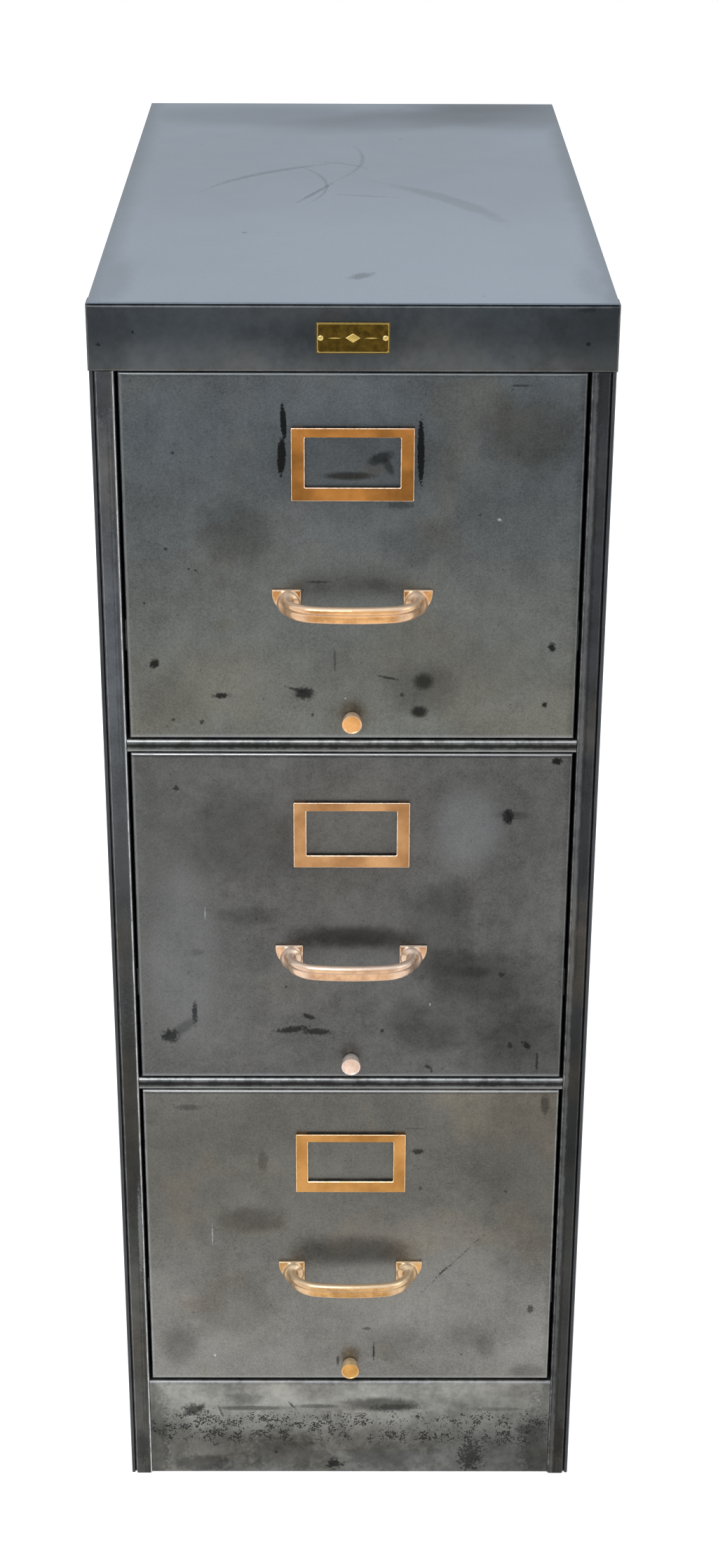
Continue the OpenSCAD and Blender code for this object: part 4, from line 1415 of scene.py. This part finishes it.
@dataclass
class CaseShell:
    """The outside of the case: top, header band, sides, posts, rails and base plate."""

    sheet: float = 1.0 * MM
    plate: float = 1.2 * MM
    post_bend: float = 2.6 * MM
    groove_width: float = 1.3 * MM
    groove_depth: float = 2.6 * MM
    groove_bend: float = 1.25 * MM
    roll_width: float = 3.1 * MM
    roll_return: float = 12.0 * MM
    header_sheet: float = 0.8 * MM
    header_bend: float = 2.2 * MM
    header_marks_from: float = 1.1 * MM
    rail_bend: float = 2.8 * MM
    base_bend: float = 3.0 * MM
    base_foot: float = 18.0 * MM
    small_bend: float = 1.6 * MM
    flange_bend: float = 1.8 * MM
    hem: float = 20.0 * MM
    weld_radius: float = 2.3 * MM
    top_columns: int = 20
    top_rows: int = 36
    front: float = field(init=False)

    def __post_init__(self) -> None:
        """Reads the place of the posts' faces from the frame."""
        self.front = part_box("right_front_post")[0].y

    def build(self) -> None:
        """Builds and dresses every piece of the shell."""
        self.top()
        self.header()
        NamePlate().build()
        for side, sign in SIDES:
            self.post(side, sign)
            self.side_panel(side, sign)
        for name in ("upper_rail", "lower_rail"):
            self.rail(name)
        self.base()
        self.back()

    def top_loop(self, low: Vector, high: Vector, offset: float, z: float) -> list[Vector]:
        """A loop round the top, with a point added at each corner.

        Args:
            low: Lower corner of the part inside the rounded edge.
            high: Upper corner of that part.
            offset: How far the loop lies outside it.
            z: Height of the loop.

        Returns:
            Its points.
        """
        corners = [Vector((x, y, z)) for x, y in ((low.x, low.y), (high.x, low.y), (high.x, high.y), (low.x, high.y))]
        points = []
        for side, parts in enumerate((self.top_columns, self.top_rows) * 2):
            facing = 90 * (side - 1)
            turns = (math.radians(facing), math.radians(facing + 45))
            out, aslant = (Vector((math.cos(a), math.sin(a), 0)) * offset for a in turns)
            start, end = corners[side], corners[(side + 1) % 4]
            points += [start.lerp(end, k / parts) + out for k in range(parts + 1)]
            points.append(end + aslant)
        return points

    def top(self) -> None:
        """Top panel: a sheet with its edge hemmed under, round-nosed all the way."""
        low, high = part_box("top_panel")
        nose = (high.z - low.z) / 2
        core_low, core_high = low + Vector((nose, nose, 0)), high - Vector((nose, nose, 0))
        turns = [math.pi * k / 8 for k in range(9)]
        profile = [(nose * math.sin(t), low.z + nose + nose * math.cos(t)) for t in turns]
        profile += [(nose - self.hem, low.z), (nose - self.hem, low.z + nose)]
        webs = [web([self.top_loop(core_low, core_high, *place) for place in profile])]
        for z, inset in ((high.z, 0.0), (low.z + nose, self.hem - nose)):
            webs.append(lattice(
                (core_low.x + inset, core_low.y + inset), (core_high.x - inset, core_high.y - inset),
                self.top_columns, self.top_rows, lambda x, y: Vector((x, y, z)),
            ))
        piece = patched("top_sheet", *webs)
        ripple(piece, 2, -0.5 * MM, 0.16, 4.0, inset=0.05)
        smooth(piece)
        finish_piece(piece, "cabinet", ["top_panel"], TOP_SKYLIT_FINISH.material(Vector((0, self.front, 0))))

    def header(self) -> None:
        """Header band: a shallow pan with rounded edges."""
        low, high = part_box("header_band")
        piece = RoundedPan(low, high, self.header_bend, self.header_sheet, columns=40, rows=6).solid("header_pan")
        ripple(piece, 1, 0.25 * MM, 0.09, 8.0, inset=0.012)
        smooth(piece)
        zero = Vector((0, 0, low.z + self.header_marks_from))
        finish_piece(piece, "cabinet", ["header_band"], HEADER_FINISH.material(zero))

    def post(self, side: str, sign: int) -> None:
        """Front post, folded from one strip: flange, inner leg, face, groove and rear tab.

        Args:
            side: "left" or "right".
            sign: -1 or 1, for the side of the case.
        """
        low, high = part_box("right_front_post")
        roll_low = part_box("right_side_panel")[1].x - self.roll_width
        groove = roll_low - self.groove_width
        front, sunk = low.y, low.y + self.groove_depth
        path = [
            (high.x, high.y), (low.x, high.y), (low.x, front), (groove, front), (groove, sunk), (roll_low, sunk),
            (roll_low, sunk + self.roll_return),
        ]
        radii = [self.small_bend, self.post_bend, self.groove_bend, 0.05 * MM, self.groove_bend]
        strip = FoldedSheet(path, radii, self.plate, step=0.05)
        piece = strip.solid(f"{side}_post_strip", lambda x, y, z: Vector((sign * x, y, z)), low.z, high.z)
        smooth(piece)
        finish_piece(piece, "cabinet", [f"{side}_front_post"], POST_FINISHES[side].material())

    def side_panel(self, side: str, sign: int) -> None:
        """Side panel with its rolled front edge and rear flange.

        Args:
            side: "left" or "right".
            sign: -1 or 1, for the side of the case.
        """
        low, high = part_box("right_side_panel")
        header_low, header_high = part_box("header_band")
        rolled, nose = high.x - self.roll_width, self.roll_width / 2
        path = [
            (rolled, low.y + nose + self.roll_return), (rolled, low.y), (high.x, low.y), (high.x, high.y),
            (low.x, high.y),
        ]
        sheet = FoldedSheet(path, [nose - 0.01 * MM] * 2 + [self.flange_bend], self.sheet, step=0.045)
        piece = sheet.solid(f"{side}_side_sheet", lambda x, y, z: Vector((sign * x, y, z)), low.z, high.z)
        inner, outer = sorted((sign * (rolled - 1 * MM), sign * (high.x + 1 * MM)))
        corner = Vector((outer, header_high.y + 0.5 * MM, high.z + 1 * MM))
        cut(piece, box_cutter(Vector((inner, low.y - 1 * MM, header_low.z)), corner))
        seal(piece)
        ripple(piece, 0, -sign * 0.5 * MM, 0.19, 13.0 + sign, inset=0.05)
        smooth(piece)
        finish = CASE_FINISH.material(Vector((0, self.front, 0)))
        finish_piece(piece, "cabinet", [f"{side}_side_panel"], finish)
        heights = [0.04 + 0.075 * k for k in range(13)]
        rows = (low.y + 0.026, high.y - 0.024)
        welds = [(Vector((sign * high.x, y, z)), Vector((sign, 0, 0))) for z in heights for y in rows]
        grown_welds = SCATTER.grow(Sprout.WELD, f"{side}_side_welds", welds, self.weld_radius, 0.12 * MM, finish)
        finish_piece(grown_welds, "cabinet")

    def rail(self, name: str) -> None:
        """A rail between two drawers: a channel with a bright rounded top edge.

        Args:
            name: Name of its node.
        """
        low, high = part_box(name)
        path = [(high.y, high.z), (low.y, high.z), (low.y, low.z), (high.y, low.z)]
        channel = FoldedSheet(path, [self.rail_bend, self.small_bend], self.plate, step=0.02)
        piece = channel.solid(f"{name}_channel", lambda y, z, x: Vector((x, y, z)), low.x, high.x)
        smooth(piece)
        finish_piece(piece, "cabinet", [name], RAIL_FINISH.material(Vector((0, 0, low.z))))

    def base(self) -> None:
        """Base plate: set back, with a flange at the top and one at the foot."""
        low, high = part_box("base_plate")
        path = [(high.y, high.z), (low.y, high.z), (low.y, low.z), (low.y + self.base_foot, low.z)]
        plate = FoldedSheet(path, [self.base_bend, self.small_bend], self.plate, step=0.014)
        piece = plate.solid("base_front_plate", lambda y, z, x: Vector((x, y, z)), low.x, high.x)
        ripple(piece, 1, 0.3 * MM, 0.07, 17.0, inset=0.015)
        smooth(piece)
        finish_piece(piece, "cabinet", ["base_plate"], BASE_FINISH.material(Vector((0, 0, low.z))))

    def back(self) -> None:
        """Back panel and uprights keep their shape; spot welds fasten them."""
        finish = CASE_FINISH.material(Vector((0, self.front, 0)))
        repaint(finish, "back_panel")
        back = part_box("back_panel")[1].y
        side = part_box("right_side_panel")[0].x - 5 * MM
        heights = [0.05 + 0.078 * k for k in range(13)]
        welds = [(Vector((sign * side, back, z)), Vector((0, 1, 0))) for _, sign in SIDES for z in heights]
        grown_welds = SCATTER.grow(Sprout.WELD, "back_welds", welds, self.weld_radius, 0.1 * MM, finish)
        finish_piece(grown_welds, "cabinet")


@dataclass
class NamePlate:
    """Blank brass plate on the header band, with a raised rim, an ornament and two rivets."""

    rim_inset: float = 0.5 * MM
    rim_width: float = 0.9 * MM
    rim_slope: float = 0.25 * MM
    rim_height: float = 0.35 * MM
    sunk: float = 0.1 * MM
    bevel: float = 0.15 * MM
    corner: float = 1.2 * MM
    lozenge: Pair = (5.5 * MM, 3.4 * MM)
    rule: Pair = (6.4 * MM, 0.7 * MM)
    rule_gap: float = 1.2 * MM

    def build(self) -> None:
        """Builds the plate, its raised parts and the rivets."""
        low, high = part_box("nameplate")
        rivets_low, rivets_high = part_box("nameplate_rivets")
        face, centre = low.y, (low + high) / 2
        plate = skin("nameplate_plate", [
            rounded_ring(low, high, high.y, self.corner),
            rounded_ring(low, high, face + self.bevel, self.corner),
            rounded_ring(*grown(low, high, -self.bevel), face, self.corner),
        ])
        smooth(plate, 50)
        finish_piece(plate, "cabinet", ["nameplate"], PLATE_FINISH.material())
        material = RIM_FINISH.material()
        aside = self.lozenge[0] + self.rule[0] + self.rule_gap
        pieces = [self.rim(low, high, face), self.diamond("nameplate_lozenge", centre, face, *self.lozenge)]
        for side, sign in SIDES:
            middle = centre + Vector((sign * aside, 0, 0))
            pieces.append(self.diamond(f"nameplate_{side}_rule", middle, face, *self.rule))
        for piece in pieces:
            smooth(piece, 40)
            finish_piece(piece, "cabinet", [], material)
        radius = (rivets_high.z - rivets_low.z) / 2
        places = (rivets_low.x + radius, rivets_high.x - radius)
        heads = [(Vector((x, face, centre.z)), Vector((0, -1, 0))) for x in places]
        rivets = SCATTER.grow(Sprout.RIVET, "nameplate_rivet_heads", heads, radius, face - rivets_low.y, material)
        finish_piece(rivets, "cabinet", ["nameplate_rivets"])

    def rim(self, low: Vector, high: Vector, face: float) -> Piece:
        """Raised border along the edge of the plate.

        Args:
            low: Lower corner of the plate.
            high: Upper corner of the plate.
            face: Place of the plate's face along y.

        Returns:
            The piece.
        """
        outer = grown(low, high, -self.rim_inset)
        inner = grown(*outer, -self.rim_width)
        foot, top = face + self.sunk, face - self.rim_height
        rings = [
            (*outer, foot), (*grown(*outer, -self.rim_slope), top),
            (*grown(*inner, self.rim_slope), top), (*inner, foot),
        ]
        return skin("nameplate_rim", [rounded_ring(*ring, self.corner) for ring in rings], ring_shaped=True)

    def diamond(self, name: str, centre: Vector, face: float, half_length: float, half_height: float) -> Piece:
        """Raised lozenge with a flat top, long or short.

        Args:
            name: Name of the piece.
            centre: Middle of the lozenge.
            face: Place of the plate's face along y.
            half_length: Half of its length.
            half_height: Half of its height.

        Returns:
            The piece.
        """
        ends = [(half_length, 0), (0, half_height), (-half_length, 0), (0, -half_height)]
        return skin(name, [
            [Vector((centre.x + scale * x, y, centre.z + scale * z)) for x, z in ends]
            for scale, y in ((1.0, face + self.sunk), (0.8, face - self.rim_height))
        ])


# --- Drawers ---


@dataclass
class DrawerFace:
    """The outer skin of a drawer front, rounded all round and drilled for the guide rod."""

    level: str
    sheet: float = 1.0 * MM
    bend: float = 2.6 * MM
    rod_hole: float = 3.9 * MM
    marks_from: float = 1.5 * MM

    def build(self) -> None:
        """Builds the skin and dresses it in its own patina."""
        level = self.level
        low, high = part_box(f"{level}_drawer_front")
        piece = RoundedPan(low, high, self.bend, self.sheet).solid(f"{level}_drawer_skin")
        ripple(piece, 1, 0.3 * MM, 0.085, 19.0 + 5 * LEVELS.index(level))
        rod_low, rod_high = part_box(f"{level}_guide_rod")
        cut(piece, drill((rod_low + rod_high) / 2, self.rod_hole, low.y - 2 * MM, low.y + 4 * MM))
        smooth(piece)
        finish = FRONT_FINISHES[level].material(Vector((0, 0, low.z + self.marks_from)))
        finish_piece(piece, f"{level}_drawer", [f"{level}_drawer_front"], finish)


@dataclass
class LabelFrame:
    """Label holder folded from bronze sheet, with its top open between two tabs."""

    level: str
    window: Pair = (70.0 * MM, 37.9 * MM)
    border_low: float = 10.4 * MM
    sheet: float = 1.0 * MM
    bend: float = 0.7 * MM
    bevel: float = 0.6 * MM
    tab: float = 9.0 * MM
    corner: float = 0.8 * MM
    inner_corner: float = 0.3 * MM

    def build(self) -> None:
        """Builds the frame as one folded ring and opens its top."""
        level = self.level
        low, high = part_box(f"{level}_label_frame")
        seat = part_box(f"{level}_drawer_front")[0].y
        window_low = Vector((-self.window[0] / 2, 0, low.z + self.border_low))
        window_high = Vector((self.window[0] / 2, 0, window_low.z + self.window[1]))
        face, back = low.y, low.y + self.sheet
        rings = [
            rounded_ring(window_low, window_high, back, self.bend),
            rounded_ring(window_low, window_high, face + self.bevel, self.bend),
            rounded_ring(*grown(window_low, window_high, self.bevel), face, self.bend),
        ]
        for turn in (math.radians(90 * k / 4) for k in range(5)):
            inset, depth = self.bend * (1 - math.sin(turn)), self.bend * (1 - math.cos(turn))
            rings.append(rounded_ring(*grown(low, high, -inset), face + depth, self.corner))
        rings.append(rounded_ring(low, high, seat, self.corner))
        rings += [rounded_ring(*grown(low, high, -self.sheet), y, self.inner_corner) for y in (seat, back)]
        piece = skin(f"{level}_label_holder", rings, ring_shaped=True)
        slot_low = Vector((low.x + self.tab, back + 0.1 * MM, high.z - self.sheet - 0.5 * MM))
        slot_high = Vector((high.x - self.tab, seat + 1 * MM, high.z + 1 * MM))
        cut(piece, box_cutter(slot_low, slot_high))
        seal(piece)
        smooth(piece, 40)
        finish = FRAME_FINISHES[level].material()
        finish_piece(piece, f"{level}_drawer", [f"{level}_label_frame"], finish)


@dataclass
class Pull:
    """Cast bronze pull: two round-edged feet with a boss each, and a thin bowed rod with a lip below it.

    The pull is drawn from its right half, with y = 0 at the drawer front and z = 0 at the
    middle of its feet, in millimetres. The halves are fused by a fine remesh.
    """

    level: str
    leg: float = 48.5
    reach: float = 34.5
    grip_depth: float = 9.5
    bow: float = 220.0
    leg_bend: float = 24.0
    rise: float = 1.2
    foot_height: float = 21.4
    foot_in: float = 10.5
    foot_centre: Pair = (37.6, 9.5)
    foot_radius: float = 22.4
    foot_thick: float = 3.0
    sides: int = 28
    voxel: float = 0.55

    # Section: how far out and how far up, going round from the valley between the rod and the lip
    SECTION = (
        (2.5, 0.1), (4.3, 2.0), (4.4, 4.5), (2.9, 6.3), (0.9, 6.8), (-1.1, 6.1), (-2.4, 4.4), (-2.5, 2.2),
        (-1.9, -0.4), (-1.6, -3.2), (-0.9, -5.6), (0.5, -6.5), (2.0, -6.2), (2.9, -4.6), (2.8, -2.0),
    )

    # Boss on a foot: degrees along the bend, half width and height, shifts to the side and up, share of the section
    FLARE = (
        (0, 8.4, 9.8, -0.9, 0.3, 0.0), (3, 7.6, 9.2, -0.8, 0.4, 0.02), (7, 6.0, 8.2, -0.6, 0.5, 0.15),
        (12, 4.6, 6.8, -0.3, 0.4, 0.45), (18, 4.0, 6.2, -0.1, 0.2, 0.8), (26, 4.0, 6.0, 0.0, 0.0, 1.0),
    )

    def section(self, turn: float) -> Pair:
        """A point of the grip's section, by a turn round it from 0 to 1.

        Args:
            turn: The turn.

        Returns:
            How far out the point lies, and how far up.
        """
        count = len(self.SECTION)
        i, t = divmod(turn * count, 1)
        p = [Vector(self.SECTION[(int(i) + k) % count]) for k in (-1, 0, 1, 2)]
        point = 0.5 * (
            2 * p[1] + (p[2] - p[0]) * t + (2 * p[0] - 5 * p[1] + 4 * p[2] - p[3]) * t**2
            + (3 * p[1] - p[0] - 3 * p[2] + p[3]) * t**3
        )
        return point.x, point.y

    def middle_line(self, turn: float) -> Pair:
        """Middle line of the right half, by how far it has turned from the leg, in degrees.

        Args:
            turn: The turn.

        Returns:
            Place to the side and along y.
        """
        bow_centre = self.grip_depth / 2 - self.reach + self.bow
        bow_turn = math.degrees(math.asin((self.leg - self.leg_bend) / (self.bow - self.leg_bend)))
        bend_centre = bow_centre - (self.bow - self.leg_bend) * math.cos(math.radians(bow_turn))
        c, s = math.cos(math.radians(turn)), math.sin(math.radians(turn))
        if turn < 90 - bow_turn:
            return self.leg - self.leg_bend * (1 - c), bend_centre - self.leg_bend * s
        return self.bow * c, bow_centre - self.bow * s

    def ring(self, turn: float, oval: Pair = (5.0, 6.0), share: float = 1.0) -> list[Vector]:
        """One ring of the right half, between an oval and the section.

        Args:
            turn: How far the middle line has turned, in degrees.
            oval: Half width and half height of the oval.
            share: How much the ring has of the section.

        Returns:
            The points of the ring.
        """
        x, depth = self.middle_line(turn)
        c, s = math.cos(math.radians(turn)), math.sin(math.radians(turn))
        points = []
        for k in range(self.sides):
            angle = 2 * math.pi * k / self.sides
            grip = self.section(k / self.sides)
            out = oval[0] * math.cos(angle) * (1 - share) + grip[0] * share
            up = oval[1] * math.sin(angle) * (1 - share) + grip[1] * share + self.rise * s
            points.append(Vector((x + out * c, depth - out * s, up)))
        return points

    def half(self) -> list[list[Vector]]:
        """Rings from inside the right foot to the middle of the grip.

        Returns:
            The rings.
        """
        boss = [
            [p + Vector((aside, 0, above)) for p in self.ring(turn, (wide, high), share)]
            for turn, wide, high, aside, above, share in self.FLARE
        ]
        start = [Vector((p.x, -self.foot_thick / 2, p.z)) for p in boss[0]]
        return [start, *boss, *(self.ring(turn) for turn in (*range(36, 80, 5), *range(80, 92, 2)))]

    def foot(self) -> Piece:
        """Right foot: straight above, below and inside, with a round outer edge.

        Returns:
            The foot.
        """
        inner, half = self.leg - self.foot_in, self.foot_height / 2
        middle, radius = Vector(self.foot_centre), self.foot_radius
        start, end = (math.asin((z - middle.y) / radius) for z in (-half, half))
        turns = [start + (end - start) * k / 28 for k in range(29)]
        arc = [middle + radius * Vector((math.cos(turn), math.sin(turn))) for turn in turns]
        outline = [Vector((inner, half)), Vector((inner, -half)), *arc]
        middle = sum(outline, Vector((0, 0))) / len(outline)
        rings = []
        for shrink, y in ((0.0, 0.0), (0.0, -2.2), (0.35, -2.8), (0.9, -self.foot_thick)):
            moved = [p + (middle - p).normalized() * shrink for p in outline]
            rings.append([Vector((p.x, y, p.y)) for p in moved])
        return skin("foot", rings)

    def build(self, shared: bpy.types.Mesh | None) -> bpy.types.Mesh:
        """Builds the pull, or moves a copy of one that was built before.

        Args:
            shared: Mesh of a finished pull at its own zero, in metres, or None.

        Returns:
            That mesh, for the next pull.
        """
        level = self.level
        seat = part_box(f"{level}_drawer_front")[0].y
        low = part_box(f"{level}_pull")[0]
        shared = shared or self.cast()
        piece = add_object(f"{level}_cast_pull", shared.copy())
        piece.data.transform(Matrix.Translation(Vector((0, seat, low.z + self.foot_height / 2 * MM))))
        finish = PULL_FINISHES[level].material()
        finish_piece(piece, f"{level}_drawer", [f"{level}_pull"], finish)
        return shared

    def cast(self) -> bpy.types.Mesh:
        """Fuses the feet, legs and grip into one casting.

        Returns:
            Mesh of the pull at its own zero, in metres.
        """
        right = self.half()
        left = [[Vector((-p.x, p.y, p.z)) for p in ring] for ring in reversed(right[:-1])]
        grip = skin("grip", right + left)
        feet = [self.foot(), self.foot()]
        feet[1].data.transform(Matrix.Scale(-1, 4, Vector((1, 0, 0))))
        seal(feet[1])
        whole = bmesh.new()
        for part in (grip, *feet):
            whole.from_mesh(part.data)
            bpy.data.objects.remove(part)
        bmesh.ops.scale(whole, vec=Vector((MM, MM, MM)), verts=whole.verts)
        casting = mesh_piece("casting", [], [])
        whole.to_mesh(casting.data)
        whole.free()
        modify(casting, "REMESH", mode="VOXEL", voxel_size=self.voxel * MM)
        modify(casting, "SMOOTH", factor=0.5, iterations=9)
        casting.data.shade_smooth()
        mesh = casting.data
        bpy.data.objects.remove(casting)
        return mesh


@dataclass
class GuideRod:
    """Steel rod along the floor of a drawer, and the turned bronze knob that draws it out."""

    level: str
    rod_radius: float = 3.5 * MM
    disc_radius: float = 7.65 * MM
    disc: float = 3.0 * MM
    gap: float = 0.3 * MM
    tail_round: float = 1.2 * MM
    pole: float = 0.02 * MM

    # Body of the knob: shares of the way from the drawer to the disc, and of the disc's radius
    BODY = (
        (0.0, 0.7), (0.03, 0.745), (0.1, 0.785), (0.25, 0.84), (0.4, 0.885), (0.55, 0.92), (0.7, 0.945),
        (0.82, 0.95), (0.92, 0.93), (1.0, 0.895),
    )

    # Disc of the knob, in millimetres: how far behind its front, and how far inside its rim
    DISC = ((0.5, 0.0), (0.12, 0.15), (0.02, 0.45), (0.12, 0.8), (0.5, 1.2))

    def build(self) -> None:
        """Builds the knob and the rod."""
        level = self.level
        body, nodes = f"{level}_guide_rod", [f"{level}_guide_rod"]
        low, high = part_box(body)
        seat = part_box(f"{level}_drawer_front")[0].y
        centre = Vector((0, seat, (low.z + high.z) / 2))
        knob = turned(f"{level}_knob", centre, self.knob_profile(seat - low.y))
        smooth(knob, 28)
        finish_piece(knob, body, nodes, KNOB_FINISHES[level].material())
        rod = turned(f"{level}_rod", centre, self.rod_profile(high.y - seat), 32)
        smooth(rod, 28)
        finish_piece(rod, body, nodes, ROD_FINISH.material(centre))

    def knob_profile(self, reach: float) -> list[Pair]:
        """Distances along y and radii of a knob that reaches so far out.

        Args:
            reach: How far its front stands off the drawer.

        Returns:
            The pairs, in order.
        """
        rim, body_end = self.disc_radius, reach - self.disc
        return [
            (-self.gap, self.rod_radius * 0.9),
            *((-(self.gap + (body_end - self.gap) * way), rim * part) for way, part in self.BODY),
            (-(body_end + 0.15 * MM), rim - 0.4 * MM), (-(body_end + 0.5 * MM), rim),
            *((-(reach - back * MM), rim - inside * MM) for back, inside in self.DISC),
            (-(reach - 0.42 * MM), rim * 0.5), (-(reach - 0.36 * MM), self.pole),
        ]

    def rod_profile(self, tail: float) -> list[Pair]:
        """Distances along y and radii of a rod whose tail ends so far inside.

        Args:
            tail: How far behind the drawer face it ends.

        Returns:
            The pairs, in order.
        """
        radius, rounding = self.rod_radius, self.tail_round
        return [
            (-self.gap, radius * 0.92), (-self.gap, radius), *((tail * k / 16, radius) for k in range(1, 16)),
            (tail - rounding, radius), (tail - 0.35 * rounding, radius - 0.3 * rounding), (tail, radius - rounding),
            (tail, self.pole),
        ]


@dataclass
class DrawerInside:
    """What shows when a drawer is open: tray, liner, follower and slides, with their welds."""

    level: str
    materials: dict[str, Material]
    welds: int = 9
    weld_radius: float = 2.2 * MM

    PAINTED = {
        "inner": ("front_liner", "tray", "follower"),
        "slide": ("left_case_channel", "right_case_channel", "runners", "cradle"),
        "roller": ("front_rollers", "middle_rollers", "rear_rollers"),
        "screw": ("pull_screws",),
    }

    def build(self) -> None:
        """Repaints the nodes, and adds the spot welds that hold the runners to the tray's walls."""
        level = self.level
        for kind, parts in self.PAINTED.items():
            repaint(self.materials[kind], *(f"{level}_{part}" for part in parts))
        low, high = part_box(f"{level}_tray")
        height = sum(corner.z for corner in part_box(f"{level}_runners")) / 2
        inner, length = high.x - 1 * MM, high.y - low.y
        places = [
            (Vector((sign * inner, low.y + length * (k + 0.5) / self.welds, height + dz)), Vector((-sign, 0, 0)))
            for _, sign in SIDES
            for k in range(self.welds)
            for dz in (-6 * MM, 6 * MM)
        ]
        name, material = f"{level}_tray_welds", self.materials["inner"]
        welds = SCATTER.grow(Sprout.WELD, name, places, self.weld_radius, 0.15 * MM, material)
        finish_piece(welds, f"{level}_drawer")


# --- Studio ---


@dataclass
class Studio:
    """Floor, sky, lamps and camera."""

    front: float
    lens: float = 62.57
    pitch: float = 25.163
    yaw: float = 0.301
    roll: float = 0.238
    eye: tuple[float, float, float] = (-4.4 * MM, -1894.2 * MM, 1553.1 * MM)
    floor_half: float = 6.0

    def build(self) -> None:
        """Sets everything up: also three soft boxes, over the front, on the right and behind."""
        self.sky()
        self.floor()
        self.lamp("front_box", Vector((-0.9, -2.3, 2.5)), Vector((0, 0, 0.6)), 1.6, 34.0)
        self.lamp("right_box", Vector((2.2, -1.3, 1.7)), Vector((0, 0, 0.6)), 1.2, 8.0)
        self.lamp("back_box", Vector((0.8, 1.4, 3.4)), Vector((0, 0.3, 0.9)), 1.6, 12.0)
        self.camera()
        bpy.context.scene.view_settings.view_transform = "Standard"

    def seen_directly(self, w: Wiring) -> Socket:
        """1 for rays from the camera, and for what metal and glass show.

        Args:
            w: Wiring of a tree.

        Returns:
            The value.
        """
        path = w.node("ShaderNodeLightPath")
        shiny = w.math("MAXIMUM", path["Is Glossy Ray"], path["Is Transmission Ray"])
        return w.math("MAXIMUM", path["Is Camera Ray"], shiny)

    def sky(self) -> None:
        """White all round, dimmer where it only lights dull surfaces."""
        world = bpy.data.worlds.new("studio")
        w = wired(world)
        strength = w.remap(self.seen_directly(w), 0, 1, 0.55, 1.0)
        light = w.node("ShaderNodeBackground", Color=(1, 1, 1, 1), Strength=strength)[0]
        w.node("ShaderNodeOutputWorld", Surface=light)
        bpy.context.scene.world = world

    def floor(self) -> None:
        """Pale floor that shows white and keeps the shadow."""
        ends = (-self.floor_half, self.floor_half)
        floor = mesh_piece("floor", [Vector((x, y, -0.2 * MM)) for y in ends for x in ends], [(0, 1, 3, 2)])
        made = bpy.data.materials.new("floor_white")
        w = wired(made)
        dull = w.node("ShaderNodeBsdfDiffuse", Color=(0.85, 0.85, 0.85, 1))[0]
        glow = w.node("ShaderNodeEmission", Strength=w.times(self.seen_directly(w), 0.8))[0]
        w.node("ShaderNodeOutputMaterial", Surface=w.step("ShaderNodeAddShader", dull, glow))
        floor.data.materials.append(made)

    def lamp(self, name: str, place: Vector, aim: Vector, size: float, power: float) -> None:
        """One square area lamp.

        Args:
            name: Its name.
            place: Where it stands.
            aim: The point that it shines on.
            size: Length of its side.
            power: Its power in watts.
        """
        light = bpy.data.lights.new(name, "AREA")
        light.shape = "SQUARE"
        light.size = size
        light.energy = power
        holder = add_object(name, light)
        holder.location = place
        holder.rotation_euler = (aim - place).to_track_quat("-Z", "Y").to_euler()

    def camera(self) -> None:
        """Camera that looks down at the front from a little above the case."""
        eye = bpy.data.cameras.new("eye")
        eye.sensor_fit = "VERTICAL"
        eye.sensor_height = 36.0
        eye.lens = self.lens
        pitch, yaw, roll = (math.radians(a) for a in (self.pitch, self.yaw, self.roll))
        ahead = Vector((math.sin(yaw) * math.cos(pitch), math.cos(yaw) * math.cos(pitch), -math.sin(pitch)))
        level = Vector((math.cos(yaw), -math.sin(yaw), 0))
        upright_way = level.cross(ahead)
        right = math.cos(roll) * level + math.sin(roll) * upright_way
        up = math.cos(roll) * upright_way - math.sin(roll) * level
        turn = Matrix((right, up, -ahead)).transposed().to_4x4()
        holder = add_object("eye", eye)
        holder.matrix_world = Matrix.Translation(Vector(self.eye) + Vector((0, self.front, 0))) @ turn
        bpy.context.scene.camera = holder


def main() -> None:
    """Builds the studio, the case and the three drawers, in that order."""
    logging.basicConfig(level=logging.INFO, format="%(message)s")
    case = CaseShell()
    Studio(case.front).build()
    case.build()
    finishes = {"inner": INNER_FINISH, "slide": SLIDE_FINISH, "roller": ROLLER_FINISH, "screw": SCREW_FINISH}
    materials = {kind: finish.material() for kind, finish in finishes.items()}
    repaint(materials["inner"], "floor_pan", "left_rear_upright", "right_rear_upright")
    casting = None
    for level in LEVELS:
        DrawerFace(level).build()
        LabelFrame(level).build()
        casting = Pull(level).build(casting)
        GuideRod(level).build()
        DrawerInside(level, materials).build()


if __name__ == "__main__":
    main()
